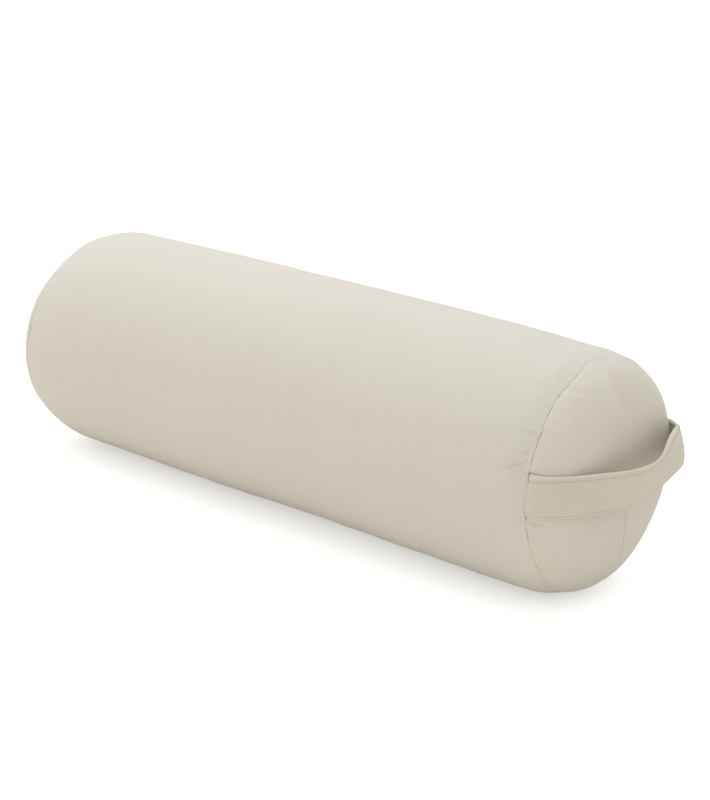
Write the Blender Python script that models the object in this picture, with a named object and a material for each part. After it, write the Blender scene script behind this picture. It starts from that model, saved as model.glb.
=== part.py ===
"""Round yoga bolster: a filled insert inside a zipped cover, with a carry handle on one end.

X runs along the bolster, with the handle end at +X. The front is -Y, the zip seam is at +Y and
+Z is up. The origin is on the floor under the middle of the bolster. Every size is in metres.
"""

import math

import bmesh
import bpy
import numpy as np
from mathutils import Vector

# The stuffed body
BODY_RADIUS = 0.118
BODY_LENGTH = 0.634
CROWN = 0.0024
SHOULDER_DRAW = 0.0067
SHOULDER_LENGTH = 0.024
END_BULGE = 0.038
END_ACROSS_POWER = 3.7
END_OUTWARD_POWER = 1.75
SETTLED_DEPTH = 0.003
ZIP_SEAM_DEPTH = 0.0015

# Clearances: between pieces that touch, between cloth edges sewn edge to edge, and round filling
FIT = 0.0003
SEAM = 0.0006
LOFT_GAP = 0.0008

# Cloth and filling
COVER_CLOTH = 0.0015
SEAM_ALLOWANCE = 0.010
LINER_CLOTH = 0.0008
LINER_DRAW = 0.0015
WRAP_THICKNESS = 0.015

# Carry handle: a strap round the end panel, from one side of the ring seam to the other
HANDLE_WIDTH = 0.038
HANDLE_THICKNESS = 0.0032
HANDLE_HEIGHT = 0.010
HANDLE_BOW = 0.022
HANDLE_LEAN = 0.0037
HANDLE_PEAK = math.radians(83)
HANDLE_FRONT_SPREAD = math.radians(26)
HANDLE_REAR_SPREAD = math.radians(38.6)
HANDLE_REAR_TWIST = math.radians(17.9)
HANDLE_SWELL = 0.0097
HANDLE_SWELL_LEAN = 0.0018
HANDLE_SWELL_PLACE = math.radians(116)
HANDLE_SWELL_SPREAD = math.radians(28)
HANDLE_RISE = 0.0175
HANDLE_NOTCH = 0.009
SLEEVE_CLOTH = 0.0008
WEBBING_INSET = 0.0025
WEBBING_THICKNESS = 0.001

# Coil zip along the rear seam, ending short of each ring seam
ZIP_INSET = 0.087
ZIP_SLOT_WIDTH = 0.011
SLOT_END_TAPER = 0.004
TAPE_WIDTH = 0.013
TAPE_THICKNESS = 0.0007
TAPE_DROP = 0.0009
TAPE_OVERRUN = 0.012
COIL_WIDTH = 0.0026
COIL_HEIGHT = 0.0017
COIL_ROUNDING = 0.0004
CHAIN_GAP = 0.0018
STOP_LENGTH = 0.0024
SLIDER_LENGTH = 0.013
SLIDER_NOSE_WIDTH = 0.0058
SLIDER_SHOULDER = 0.0022
SLIDER_PLATE = 0.0012
SLIDER_MARGIN = 0.001
SLIDER_RAIL = 0.0008
SLIDER_NECK = 0.0012
SLIDER_NECK_LENGTH = 0.0045
BAIL_LENGTH = 0.0084
BAIL_WIDTH = 0.0018
BAIL_THICKNESS = 0.0011
BAIL_CLEARANCE = 0.0024
PULL_LENGTH = 0.027
PULL_WIDTH = 0.007
PULL_THICKNESS = 0.0014
PULL_WINDOW_LENGTH = 0.0062
PULL_WINDOW_WIDTH = 0.003

# Care label in the rear seam
LABEL_WIDTH = 0.020
LABEL_DROP = 0.030
LABEL_CLOTH = 0.0005
LABEL_FROM_ZIP = 0.012

# Points closer than this are one point
WELD = 1e-6

# Fineness of the round surfaces
ROUND_STEPS = 48
DOME_STEPS = 6
INNER_DOME_STEPS = 4
HANDLE_STEPS = 32
HANDLE_COLUMNS = 5
LABEL_STEPS = 4

# Places that follow from the sizes
HALF_LENGTH = BODY_LENGTH / 2
ZIP_LENGTH = BODY_LENGTH - 2 * ZIP_INSET
WEBBING_WIDTH = HANDLE_WIDTH - 2 * WEBBING_INSET
AXIS_HEIGHT = BODY_RADIUS - SETTLED_DEPTH
REAR_FACE = BODY_RADIUS - ZIP_SEAM_DEPTH
END_RADIUS = BODY_RADIUS - CROWN - SHOULDER_DRAW
COVER_LAYER = COVER_CLOTH + FIT
LINER_LAYER = LINER_CLOTH + LOFT_GAP
TAPE_DEPTH = COVER_CLOTH + TAPE_DROP
COIL_DEPTH = TAPE_DEPTH - FIT - COIL_HEIGHT
CHAIN_HALF_WIDTH = CHAIN_GAP / 2 + COIL_WIDTH
LOWER_PLATE_DEPTH = TAPE_DEPTH + TAPE_THICKNESS + FIT
ZIP_ROOM = LOWER_PLATE_DEPTH + SLIDER_PLATE + FIT
STOP_PLACE = ZIP_LENGTH / 2 - FIT - STOP_LENGTH / 2
COIL_LENGTH = ZIP_LENGTH - 4 * FIT - 2 * STOP_LENGTH
SLIDER_PLACE = COIL_LENGTH / 2 - SLIDER_LENGTH / 2
PULL_PIVOT_DEPTH = COIL_DEPTH - FIT - SLIDER_PLATE - BAIL_CLEARANCE / 2


def clear_scene():
    for thing in list(bpy.data.objects):
        bpy.data.objects.remove(thing, do_unlink=True)


def material(name, colour, roughness, metallic=0.0):
    made = bpy.data.materials.new(name)
    made.use_nodes = True
    shader = made.node_tree.nodes["Principled BSDF"]
    shader.inputs["Base Color"].default_value = (*colour, 1.0)
    shader.inputs["Roughness"].default_value = roughness
    shader.inputs["Metallic"].default_value = metallic
    return made


def add_object(name, mesh, finish, place=(0, 0, 0), parent=None):
    made = bpy.data.objects.new(name, mesh)
    made.location = place
    made.parent = parent
    mesh.materials.append(finish)
    bpy.context.scene.collection.objects.link(made)
    return made


def add_modifier(thing, kind, **settings):
    modifier = thing.modifiers.new(kind.title(), kind)
    for key, value in settings.items():
        setattr(modifier, key, value)
    return modifier


def smooth_mesh(mesh, sharp_degrees=40):
    mesh.shade_smooth()
    mesh.set_sharp_from_angle(angle=math.radians(sharp_degrees))


def grid_mesh(name, rows, closed_round=False, cap_start=False, cap_end=False):
    """A mesh through rows of points, whose outside faces the rows' turn from +Y over +Z to +X.

    Points that fall together, such as those of a pole, become one.
    """
    width = len(rows[0])
    columns = width if closed_round else width - 1
    made = bmesh.new()
    points = [[made.verts.new(point) for point in row] for row in rows]
    for below, above in zip(points, points[1:]):
        for column in range(columns):
            beside = (column + 1) % width
            made.faces.new((below[column], below[beside], above[beside], above[column]))
    if cap_start:
        made.faces.new(points[0][::-1])
    if cap_end:
        made.faces.new(points[-1])
    bmesh.ops.remove_doubles(made, verts=made.verts, dist=WELD)
    mesh = bpy.data.meshes.new(name)
    made.to_mesh(mesh)
    made.free()
    smooth_mesh(mesh)
    return mesh


def cloth(name, rows, thickness, finish, closed_round=False):
    """Cloth with its outside on the rows of points and its thickness inside them."""
    made = add_object(name, grid_mesh(name, rows, closed_round), finish)
    add_modifier(made, "SOLIDIFY", thickness=thickness, offset=-1, use_even_offset=True)
    return made


def box_mesh(name, low, high):
    made = bmesh.new()
    bmesh.ops.create_cube(made, size=1)
    middle = (Vector(low) + Vector(high)) / 2
    size = Vector(high) - Vector(low)
    for vertex in made.verts:
        vertex.co = Vector(vertex.co * size) + middle
    mesh = bpy.data.meshes.new(name)
    made.to_mesh(mesh)
    made.free()
    return mesh


def join(thing, *others):
    """Unites closed shapes into the first one, and hides the guides that this leaves behind."""
    for other in others:
        add_modifier(thing, "BOOLEAN", operation="UNION", object=other)
        hide_guide(other)


def cut(thing, cutter):
    add_modifier(thing, "BOOLEAN", operation="DIFFERENCE", object=cutter)
    hide_guide(cutter)


def hide_guide(guide):
    guide.hide_render = True
    guide.display_type = "WIRE"


def body_radius(x):
    """Outside radius of the cover at x: fullest in the middle and drawn in at the ring seams."""
    share = abs(x) / HALF_LENGTH
    shoulder = max(0, (abs(x) - HALF_LENGTH + SHOULDER_LENGTH) / SHOULDER_LENGTH)
    return BODY_RADIUS - CROWN * share**4 - SHOULDER_DRAW * shoulder**2


def body_slope(x):
    share = abs(x) / HALF_LENGTH
    shoulder = max(0, (abs(x) - HALF_LENGTH + SHOULDER_LENGTH) / SHOULDER_LENGTH)
    return 4 * CROWN * share**3 / HALF_LENGTH + 2 * SHOULDER_DRAW * shoulder / SHOULDER_LENGTH


def wall_point(x, angle, depth, rear_depth=None):
    """A point at a depth below the cover's outside, which the floor and the zip seam flatten.

    The angle goes up from the rear. rear_depth is the depth at the rear, where it differs.
    """
    if rear_depth is None:
        rear_depth = depth
    radius = body_radius(x) - depth * math.hypot(1, body_slope(x))
    across = math.cos(angle)
    up = math.sin(angle)
    if up < 0:
        radius = min(radius, (AXIS_HEIGHT - depth) / -up)
    if across > 0:
        radius = min(radius, (REAR_FACE - rear_depth) / across)
    return Vector((x, radius * across, AXIS_HEIGHT + radius * up))


def ring_angles():
    """Even angles once round, with the nearest ones moved to the edges of the two flats."""
    angles = np.linspace(0, 2 * math.pi, ROUND_STEPS + 1)
    floor_half = math.acos(AXIS_HEIGHT / BODY_RADIUS)
    rear_half = math.acos(REAR_FACE / BODY_RADIUS)
    under = 1.5 * math.pi
    edges = (rear_half, 2 * math.pi - rear_half, under - floor_half, under + floor_half)
    for edge in edges:
        angles[np.abs(angles - edge).argmin()] = edge
    return angles


def dome_rows(start, radius, bulge, angles, steps):
    """Rows of a stuffed end from its rim to its pole, as a super-ellipse turned about X."""
    rows = []
    for turn in np.linspace(0, math.pi / 2, steps + 1):
        ring = radius * math.cos(turn) ** (2 / END_ACROSS_POWER) if turn < math.pi / 2 else 0
        x = start + bulge * math.sin(turn) ** (2 / END_OUTWARD_POWER)
        rows.append([Vector((x, ring * math.cos(a), AXIS_HEIGHT + ring * math.sin(a))) for a in angles])
    return rows


def to_other_end(rows):
    """The same rows at the other end of the bolster, still facing outwards."""
    return [[Vector((-p.x, p.y, p.z)) for p in reversed(row)] for row in rows]


def make_cover_tube(finish):
    """One sheet rolled into a tube. Its long edges meet in the rear seam and part at the zip."""
    half_slot = ZIP_LENGTH / 2
    shoulder = (HALF_LENGTH - SHOULDER_LENGTH, HALF_LENGTH - SEAM_ALLOWANCE, HALF_LENGTH - SEAM / 2)
    ahead = [half_slot, half_slot + SLOT_END_TAPER, *shoulder]
    stations = [*(-x for x in reversed(ahead)), 0, *ahead]
    inner_angles = ring_angles()[1:-1]
    rows = []
    for x in stations:
        half_gap = ZIP_SLOT_WIDTH / 2 if abs(x) <= half_slot else SEAM / 2
        edge = math.asin(half_gap / body_radius(x))
        angles = [edge, *inner_angles, 2 * math.pi - edge]
        row = [wall_point(x, angle, 0) for angle in angles]
        row[0].z = AXIS_HEIGHT + half_gap
        row[-1].z = AXIS_HEIGHT - half_gap
        rows.append(row)
    return cloth("cover_tube", rows, COVER_CLOTH, finish)


def half_panel_rows(side):
    """One half-moon end panel: its seam allowance inside the tube, its rim and its dome."""
    angles = ring_angles()[:-1]
    quarter = ROUND_STEPS // 4
    front = angles[quarter : 3 * quarter + 1]
    rear = [*(angles[3 * quarter :] - 2 * math.pi), *angles[: quarter + 1]]
    half = front if side < 0 else rear
    tail = HALF_LENGTH - SEAM_ALLOWANCE
    rows = [[wall_point(x, angle, COVER_LAYER) for angle in half] for x in (tail, HALF_LENGTH)]
    rows += dome_rows(HALF_LENGTH + SEAM / 2, END_RADIUS, END_BULGE, half, DOME_STEPS)
    for row in rows:
        for point in row:
            point.y = side * max(abs(point.y), SEAM / 2)
    return rows


def make_end_panels(finish):
    """Two half-moon panels for each end. Those at the handle end are notched for its roots."""
    half_notch = HANDLE_WIDTH / 2 + FIT
    notch_floor = math.sqrt(END_RADIUS**2 - (HANDLE_HEIGHT + half_notch) ** 2) - 2 * COVER_LAYER
    notch_mouth = END_RADIUS + HANDLE_THICKNESS
    for side, place in ((-1, "front"), (1, "rear")):
        rows = half_panel_rows(side)
        panel = cloth(f"handle_end_panel_{place}", rows, COVER_CLOTH, finish)
        inner, outer = sorted((side * notch_floor, side * notch_mouth))
        low = (HALF_LENGTH, inner, AXIS_HEIGHT + HANDLE_HEIGHT - half_notch)
        high = (HALF_LENGTH + HANDLE_NOTCH, outer, AXIS_HEIGHT + HANDLE_HEIGHT + half_notch)
        notch = add_object(f"notch_guide_{place}", box_mesh("notch", low, high), finish)
        cut(panel, notch)
        cloth(f"plain_end_panel_{place}", to_other_end(rows), COVER_CLOTH, finish)


def handle_point(turn, height):
    """A point half way through the strap. turn goes from the front root, 0, to the rear one, pi.

    The strap lies close to the end panel at its roots and bows clear of it between them. Behind
    the middle it also swells outwards and rises.
    """
    z = HANDLE_HEIGHT + height
    lift = HANDLE_THICKNESS / 2 + FIT
    radius = END_RADIUS + lift
    reach = math.sqrt(radius**2 - z**2)
    y = -reach * math.cos(turn)
    inside = max(0, 1 - (math.hypot(y, z) / radius) ** END_ACROSS_POWER)
    x = (END_BULGE + lift) * inside ** (1 / END_OUTWARD_POWER)
    root = max(0, 1 - x / HANDLE_NOTCH) ** 2
    y -= math.copysign((FIT + COVER_CLOTH) * root, y)
    level = height / (HANDLE_WIDTH / 2)
    spread = HANDLE_FRONT_SPREAD if turn < HANDLE_PEAK else HANDLE_REAR_SPREAD - HANDLE_REAR_TWIST * level
    x += (HANDLE_BOW + HANDLE_LEAN * level) * math.exp(-(((turn - HANDLE_PEAK) / spread) ** 2))
    swell = math.exp(-(((turn - HANDLE_SWELL_PLACE) / HANDLE_SWELL_SPREAD) ** 2))
    x += (HANDLE_SWELL + HANDLE_SWELL_LEAN * level) * swell
    return Vector((HALF_LENGTH + SEAM / 2 + x, y, AXIS_HEIGHT + z + HANDLE_RISE * swell))


def handle_normal(turn, height):
    """The strap's outward direction, from its slopes along and across."""
    step = 1e-4
    along = handle_point(min(turn + step, math.pi), height) - handle_point(max(turn - step, 0), height)
    across = handle_point(turn, height + step) - handle_point(turn, height - step)
    return along.cross(across).normalized()


def handle_rows(width, thickness, edge):
    """Closed sections of a strap: both faces, and a point on each rounded edge."""
    flat = width / 2 - edge
    heights = np.linspace(-flat, flat, HANDLE_COLUMNS)
    rows = []
    for turn in np.linspace(0, math.pi, HANDLE_STEPS + 1):
        outer = [handle_point(turn, h) + handle_normal(turn, h) * thickness / 2 for h in heights]
        inner = [handle_point(turn, h) - handle_normal(turn, h) * thickness / 2 for h in heights]
        top = [handle_point(turn, width / 2)] if edge else []
        bottom = [handle_point(turn, -width / 2)] if edge else []
        row = [*bottom, *inner, *top, *reversed(outer)]
        if turn in (0, math.pi):
            for point in row:
                point.x = HALF_LENGTH + SEAM / 2
        rows.append(row)
    return rows


def make_handle(sleeve_finish, webbing_finish):
    """A folded sleeve of cover cloth, open at its roots, round a strip of webbing."""
    sleeve_rows = handle_rows(HANDLE_WIDTH, HANDLE_THICKNESS, HANDLE_THICKNESS / 2)
    cloth("handle_sleeve", sleeve_rows, SLEEVE_CLOTH, sleeve_finish, closed_round=True)
    rows = handle_rows(WEBBING_WIDTH, WEBBING_THICKNESS, 0)
    mesh = grid_mesh("handle_webbing", rows, closed_round=True, cap_start=True, cap_end=True)
    add_object("handle_webbing", mesh, webbing_finish)


def insert_rows(depth):
    """Rows of the insert's wall from one ring seam to the other, at a depth inside its outside."""
    ahead = [
        (HALF_LENGTH - SHOULDER_LENGTH, COVER_LAYER),
        (HALF_LENGTH - SEAM_ALLOWANCE, 2 * COVER_LAYER),
        (HALF_LENGTH - SEAM / 2, 2 * COVER_LAYER + LINER_DRAW),
    ]
    stations = [*((-x, inset) for x, inset in reversed(ahead)), (0, COVER_LAYER), *ahead]
    angles = ring_angles()[:-1]
    return [[wall_point(x, a, inset + depth, ZIP_ROOM + depth) for a in angles] for x, inset in stations]


def insert_dome(depth, start):
    """Rows of the insert's stuffed end, at a depth inside its outside."""
    ring = insert_rows(depth)[0]
    radius = ring[ROUND_STEPS // 4].z - AXIS_HEIGHT
    bulge = END_BULGE - COVER_LAYER - depth
    return dome_rows(start, radius, bulge, ring_angles()[:-1], INNER_DOME_STEPS)


def make_liner(finish):
    """The insert's case: a sewn tube and two end discs, which keep the filling together."""
    cloth("liner_tube", insert_rows(0), LINER_CLOTH, finish, closed_round=True)
    rows = insert_dome(0, HALF_LENGTH + SEAM / 2)
    cloth("liner_end_near", rows, LINER_CLOTH, finish, closed_round=True)
    cloth("liner_end_far", to_other_end(rows), LINER_CLOTH, finish, closed_round=True)


def make_filling(wrap_finish, core_finish, pad_finish):
    """A rolled core, a smooth wadding sheet wrapped round it, and a pad that rounds each end."""
    outside = insert_rows(LINER_LAYER)
    inside = insert_rows(LINER_LAYER + WRAP_THICKNESS)
    mesh = grid_mesh("fill_wrap", [*outside, *reversed(inside), outside[0]], closed_round=True)
    add_object("fill_wrap", mesh, wrap_finish)
    rows = insert_rows(LINER_LAYER + WRAP_THICKNESS + LOFT_GAP)
    mesh = grid_mesh("fill_core", rows, closed_round=True, cap_start=True, cap_end=True)
    add_object("fill_core", mesh, core_finish)
    dome = insert_dome(LINER_LAYER, HALF_LENGTH + SEAM / 2)
    for name, pad in (("end_pad_near", dome), ("end_pad_far", to_other_end(dome))):
        mesh = grid_mesh(name, pad, closed_round=True, cap_start=True)
        add_object(name, mesh, pad_finish)


def zip_box(name, finish, x, depth, z):
    """A block on the zip, from ranges along it, down from the seam's face and up from its line."""
    low = (x[0], REAR_FACE - depth[1], AXIS_HEIGHT + z[0])
    high = (x[1], REAR_FACE - depth[0], AXIS_HEIGHT + z[1])
    return add_object(name, box_mesh(name, low, high), finish)


def make_zip_chain(tape_finish, coil_finish, stop_finish):
    """Two woven tapes under the cover's edges, a coil half on each, and the stops at the ends."""
    tape_half = ZIP_LENGTH / 2 + TAPE_OVERRUN
    coil_half = COIL_LENGTH / 2
    stop_reach = (STOP_PLACE - STOP_LENGTH / 2, STOP_PLACE + STOP_LENGTH / 2)
    depth = (COIL_DEPTH, COIL_DEPTH + COIL_HEIGHT)
    for side, place in ((1, "upper"), (-1, "lower")):
        inner = CHAIN_GAP / 2 + FIT
        tape_z = sorted((side * inner, side * (inner + TAPE_WIDTH)))
        tape_depth = (TAPE_DEPTH, TAPE_DEPTH + TAPE_THICKNESS)
        zip_box(f"zip_tape_{place}", tape_finish, (-tape_half, tape_half), tape_depth, tape_z)
        coil_z = sorted((side * CHAIN_GAP / 2, side * CHAIN_HALF_WIDTH))
        coil = zip_box(f"zip_coil_{place}", coil_finish, (-coil_half, coil_half), depth, coil_z)
        add_modifier(coil, "BEVEL", width=COIL_ROUNDING, segments=1)
        zip_box(f"zip_top_stop_{place}", stop_finish, stop_reach, depth, coil_z)
    end = (-stop_reach[1], -stop_reach[0])
    zip_box("zip_bottom_stop", stop_finish, end, depth, (-CHAIN_HALF_WIDTH, CHAIN_HALF_WIDTH))


def slider_plate(name, finish, depth):
    """A shield-shaped plate, square at its tail and narrower at its nose."""
    half = CHAIN_HALF_WIDTH + FIT + SLIDER_MARGIN
    length = SLIDER_LENGTH / 2
    outline = [(-length, -half), (SLIDER_SHOULDER, -half), (length, -SLIDER_NOSE_WIDTH / 2)]
    outline += [(x, -z) for x, z in reversed(outline)]
    rows = [[Vector((x, -d, z)) for x, z in outline] for d in depth]
    mesh = grid_mesh(name, rows, closed_round=True, cap_start=True, cap_end=True)
    return add_object(name, mesh, finish)


def local_box(name, finish, x, depth, z):
    low = (x[0], -depth[1], z[0])
    high = (x[1], -depth[0], z[1])
    return add_object(name, box_mesh(name, low, high), finish)


def slider_rails(finish, top_depth):
    """The top plate's two sides, turned down beside the coil halves."""
    along = (SLIDER_RAIL - SLIDER_LENGTH / 2, SLIDER_SHOULDER)
    inner = CHAIN_HALF_WIDTH + FIT
    rails = []
    for side, place in ((1, "upper"), (-1, "lower")):
        across = sorted((side * inner, side * (inner + SLIDER_RAIL)))
        depth = (top_depth, TAPE_DEPTH - FIT)
        rails.append(local_box(f"slider_rail_guide_{place}", finish, along, depth, across))
    return rails


def make_zip_slider(finish, carrier):
    """Two plates joined by a neck that runs between the coil halves, and a bail for the pull."""
    top = (COIL_DEPTH - FIT - SLIDER_PLATE, COIL_DEPTH - FIT)
    bottom = (LOWER_PLATE_DEPTH, LOWER_PLATE_DEPTH + SLIDER_PLATE)
    slider = slider_plate("zip_slider", finish, top)
    lower = slider_plate("slider_lower_guide", finish, bottom)
    sunk = SLIDER_PLATE / 2
    neck_x = (SLIDER_LENGTH / 2 - SLIDER_NECK_LENGTH - SLIDER_PLATE, SLIDER_LENGTH / 2 - SLIDER_PLATE)
    neck_depth = (top[1] - sunk, bottom[0] + sunk)
    neck_z = (-SLIDER_NECK / 2, SLIDER_NECK / 2)
    neck = local_box("slider_neck_guide", finish, neck_x, neck_depth, neck_z)
    bail_top = top[0] - BAIL_CLEARANCE - BAIL_THICKNESS
    bail_x = (-BAIL_LENGTH / 2, BAIL_LENGTH / 2)
    bail_z = (-BAIL_WIDTH / 2, BAIL_WIDTH / 2)
    bail = local_box("slider_bail_guide", finish, bail_x, (bail_top, top[0] + sunk), bail_z)
    eye_half = BAIL_LENGTH / 2 - BAIL_THICKNESS
    eye_depth = (top[0] - BAIL_CLEARANCE, top[0])
    eye = local_box("slider_eye_guide", finish, (-eye_half, eye_half), eye_depth, (-BAIL_WIDTH, BAIL_WIDTH))
    cut(bail, eye)
    rails = slider_rails(finish, top[1] - sunk)
    join(slider, lower, neck, bail, *rails)
    for piece in (slider, lower, neck, bail, eye, *rails):
        piece.parent = carrier


def make_zip_pull(finish, pivot):
    """A flat tab whose end bar turns in the slider's bail. It lies along -X when it is down."""
    half = PULL_THICKNESS / 2
    width = PULL_WIDTH / 2
    tab = local_box("zip_pull_tab", finish, (half - PULL_LENGTH, half), (-half, half), (-width, width))
    window_x = (-half - PULL_WINDOW_LENGTH, -half)
    window_z = (-PULL_WINDOW_WIDTH / 2, PULL_WINDOW_WIDTH / 2)
    window = local_box("pull_window_guide", finish, window_x, (-2 * half, 2 * half), window_z)
    cut(tab, window)
    tab.parent = pivot
    window.parent = pivot


def make_zip(finishes):
    make_zip_chain(finishes["tape"], finishes["coil"], finishes["metal"])
    carrier = bpy.data.objects.new("zip_slider_place", None)
    carrier.location = (SLIDER_PLACE, REAR_FACE, AXIS_HEIGHT)
    pivot = bpy.data.objects.new("zip_pull_pivot", None)
    pivot.location = (0, -PULL_PIVOT_DEPTH, 0)
    pivot.parent = carrier
    for empty in (carrier, pivot):
        bpy.context.scene.collection.objects.link(empty)
    make_zip_slider(finishes["metal"], carrier)
    make_zip_pull(finishes["metal"], pivot)


def make_care_label(finish):
    """A bare folded tag, sewn into the rear seam past the zip's end and lying on the cover."""
    near = -ZIP_LENGTH / 2 - SLOT_END_TAPER - LABEL_FROM_ZIP
    angles = -np.linspace(SEAM / BODY_RADIUS, LABEL_DROP / BODY_RADIUS, LABEL_STEPS + 1)
    rows = [[wall_point(x, a, -FIT - LABEL_CLOTH) for a in angles] for x in (near, near - LABEL_WIDTH)]
    cloth("care_label", rows, LABEL_CLOTH, finish)


def main():
    clear_scene()
    cover = material("cover_cloth", (0.66, 0.61, 0.52), 0.9)
    make_cover_tube(cover)
    make_end_panels(material("end_panel_cloth", (0.62, 0.57, 0.48), 0.9))
    make_handle(
        material("handle_cloth", (0.68, 0.63, 0.54), 0.88),
        material("webbing", (0.7, 0.68, 0.62), 0.9),
    )
    make_liner(material("liner_muslin", (0.82, 0.8, 0.74), 0.95))
    make_filling(
        material("wadding", (0.86, 0.85, 0.82), 1.0),
        material("rolled_batting", (0.8, 0.78, 0.72), 1.0),
        material("loose_fibre", (0.88, 0.87, 0.84), 1.0),
    )
    make_zip({
        "tape": material("zip_tape", (0.64, 0.59, 0.5), 0.85),
        "coil": material("zip_coil", (0.66, 0.61, 0.53), 0.45),
        "metal": material("zip_metal", (0.55, 0.53, 0.5), 0.35, 1.0),
    })
    make_care_label(material("label_satin", (0.9, 0.89, 0.87), 0.5))


main()
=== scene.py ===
"""Round yoga bolster: its sewn cover, carry strap, zip and filling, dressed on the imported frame.

X runs along the bolster with the strap's end at +X, -Y is its front, +Y has the zip, +Z is up.
"""

import bpy
import numpy as np
from mathutils import Matrix, Vector


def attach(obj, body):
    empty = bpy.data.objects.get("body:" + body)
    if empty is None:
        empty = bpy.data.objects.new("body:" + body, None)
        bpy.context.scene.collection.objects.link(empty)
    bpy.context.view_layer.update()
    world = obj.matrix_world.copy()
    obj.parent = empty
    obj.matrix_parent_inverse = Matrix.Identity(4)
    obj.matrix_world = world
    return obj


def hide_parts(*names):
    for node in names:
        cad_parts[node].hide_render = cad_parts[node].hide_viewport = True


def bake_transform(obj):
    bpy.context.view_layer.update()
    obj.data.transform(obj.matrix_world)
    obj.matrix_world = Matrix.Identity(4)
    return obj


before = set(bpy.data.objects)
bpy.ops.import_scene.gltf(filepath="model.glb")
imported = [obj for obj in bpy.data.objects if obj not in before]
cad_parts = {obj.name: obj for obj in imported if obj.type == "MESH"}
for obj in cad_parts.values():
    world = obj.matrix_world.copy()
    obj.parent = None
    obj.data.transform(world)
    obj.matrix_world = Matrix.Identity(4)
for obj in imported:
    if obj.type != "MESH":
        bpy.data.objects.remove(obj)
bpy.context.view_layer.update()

# The camera
# It stands off the strap's end, a little above the bolster, and is turned by the few degrees that
# the photograph leans. The lens is long, as it is for a product photograph.

camera_round = 38.56
camera_above = 18.09
camera_lean = 2.30
camera_place = (1.1243, -1.3622, 0.6893)

camera = bpy.data.objects.new("camera", bpy.data.cameras.new("camera"))
bpy.context.scene.collection.objects.link(camera)
camera.data.lens = 83.1
facing = Matrix.Rotation(np.radians(camera_round), 4, "Z")
facing = facing @ Matrix.Rotation(np.radians(90 - camera_above), 4, "X")
facing = facing @ Matrix.Rotation(np.radians(camera_lean), 4, "Z")
camera.matrix_world = Matrix.Translation(camera_place) @ facing
bpy.context.scene.camera = camera


# The cover's tube
# One sheet of brushed cotton, rolled into a barrel. Its long edges meet at the rear, where they
# are sewn to each other and, for most of the length, to the zip. Each end is turned in and sewn
# to the end panels, which draws the tube in and puckers it.

body_radius = 0.118
half_body = 0.317
body_crown = 0.0024
shoulder_draw = 0.0067
shoulder_length = 0.024
floor_depth = 0.003
rear_depth = 0.0015
axis_height = body_radius - floor_depth
rear_face = body_radius - rear_depth
end_radius = body_radius - body_crown - shoulder_draw

cloth_thickness = 0.0006
yarn_pitch = 0.00052
yarn_relief = 0.00012
yarn_slub = 0.55
fold_radius = 0.0005
fold_tail = 0.003
seam_gap = 0.0001
zip_half_length = 0.23
zip_half_opening = 0.0055
opening_taper = 0.004


def soft_step(value, low, high):
    """From 0 at low to 1 at high along a smooth S: 3 s^2 - 2 s^3 of the share s of the way."""
    share = np.clip((value - low) / (high - low), 0, 1)
    return share * share * (3 - 2 * share)


def hump(value, middle, spread):
    """A bell, 1 at its middle: e to the minus square of the distance in spreads."""
    return np.exp(-(((value - middle) / spread) ** 2))


def lesser(first, second, blend=0.0008):
    """The smaller of two lengths, with the corner between them rounded over about one blend."""
    gap = np.clip((second - first) / blend, -40, 40)
    return first - blend * np.log1p(np.exp(-gap))


def stuffing(points, size, height, seed):
    """Lumps of that size and height: ten sine waves in random directions through the points."""
    pick = np.random.default_rng(seed)
    total = np.zeros(points.shape[:-1])
    for _ in range(10):
        way = pick.normal(size=3)
        way *= 2 * np.pi / (np.linalg.norm(way) * size * pick.uniform(0.7, 1.6))
        total += np.sin(points @ way + pick.uniform(0, 2 * np.pi))
    return total * height / 3


def fold_line(along, across, start, degrees, length, width, height):
    """A soft fold in cloth: a valley and the ridge beside it, both bells across and along.

    Along and across are places on the cloth, start is the middle of the valley, and degrees is
    its direction, turned from along towards across.
    """
    turn = np.radians(degrees)
    forward = (along - start[0]) * np.cos(turn) + (across - start[1]) * np.sin(turn)
    aside = (across - start[1]) * np.cos(turn) - (along - start[0]) * np.sin(turn)
    shape = 0.7 * hump(aside, 1.7 * width, width) - hump(aside, 0, width)
    return height * shape * hump(forward, 0, length)


def slopes(points):
    """The steps between neighbours down the rows and along the columns of a grid of points."""
    return np.gradient(points, axis=0), np.gradient(points, axis=1)


def outwards(points):
    """Unit normals of a grid: the columns' step crossed with the rows' step, at unit length."""
    down, along = slopes(points)
    return unit(np.cross(along, down))


def unit(vectors):
    return vectors / np.maximum(np.linalg.norm(vectors, axis=-1, keepdims=True), 1e-12)


turn_angles = np.radians((20, 40, 60, 75, 90))
turned_rows = len(turn_angles) + 1
fold_arc = fold_radius * np.append(turn_angles, turn_angles[-1]) + np.append(0 * turn_angles, fold_tail)


def turned_in(edge, normal, onward, radius, tail):
    """Lines of points that carry cloth past its edge: a quarter turn inwards, and then a tail."""
    lines = []
    for angle in turn_angles:
        lines.append(edge + onward * radius * np.sin(angle) - normal * radius * (1 - np.cos(angle)))
    lines.append(lines[-1] - normal * tail)
    return np.stack(lines)


def turned_sides(points, normal, first_way, last_way, radius):
    """A grid with its first and last columns turned in, each past its edge in the given direction."""
    first = turned_in(points[:, 0], normal[:, 0], first_way, radius, fold_tail / 2)[::-1]
    last = turned_in(points[:, -1], normal[:, -1], last_way, radius, fold_tail / 2)
    return np.concatenate([first.swapaxes(0, 1), points, last.swapaxes(0, 1)], 1)


def padded_sides(values):
    """The values with their first and last columns repeated, for the turned-in sides."""
    first, last = values[:, :1].repeat(turned_rows, 1), values[:, -1:].repeat(turned_rows, 1)
    return np.concatenate([first, values, last], 1)


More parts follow.
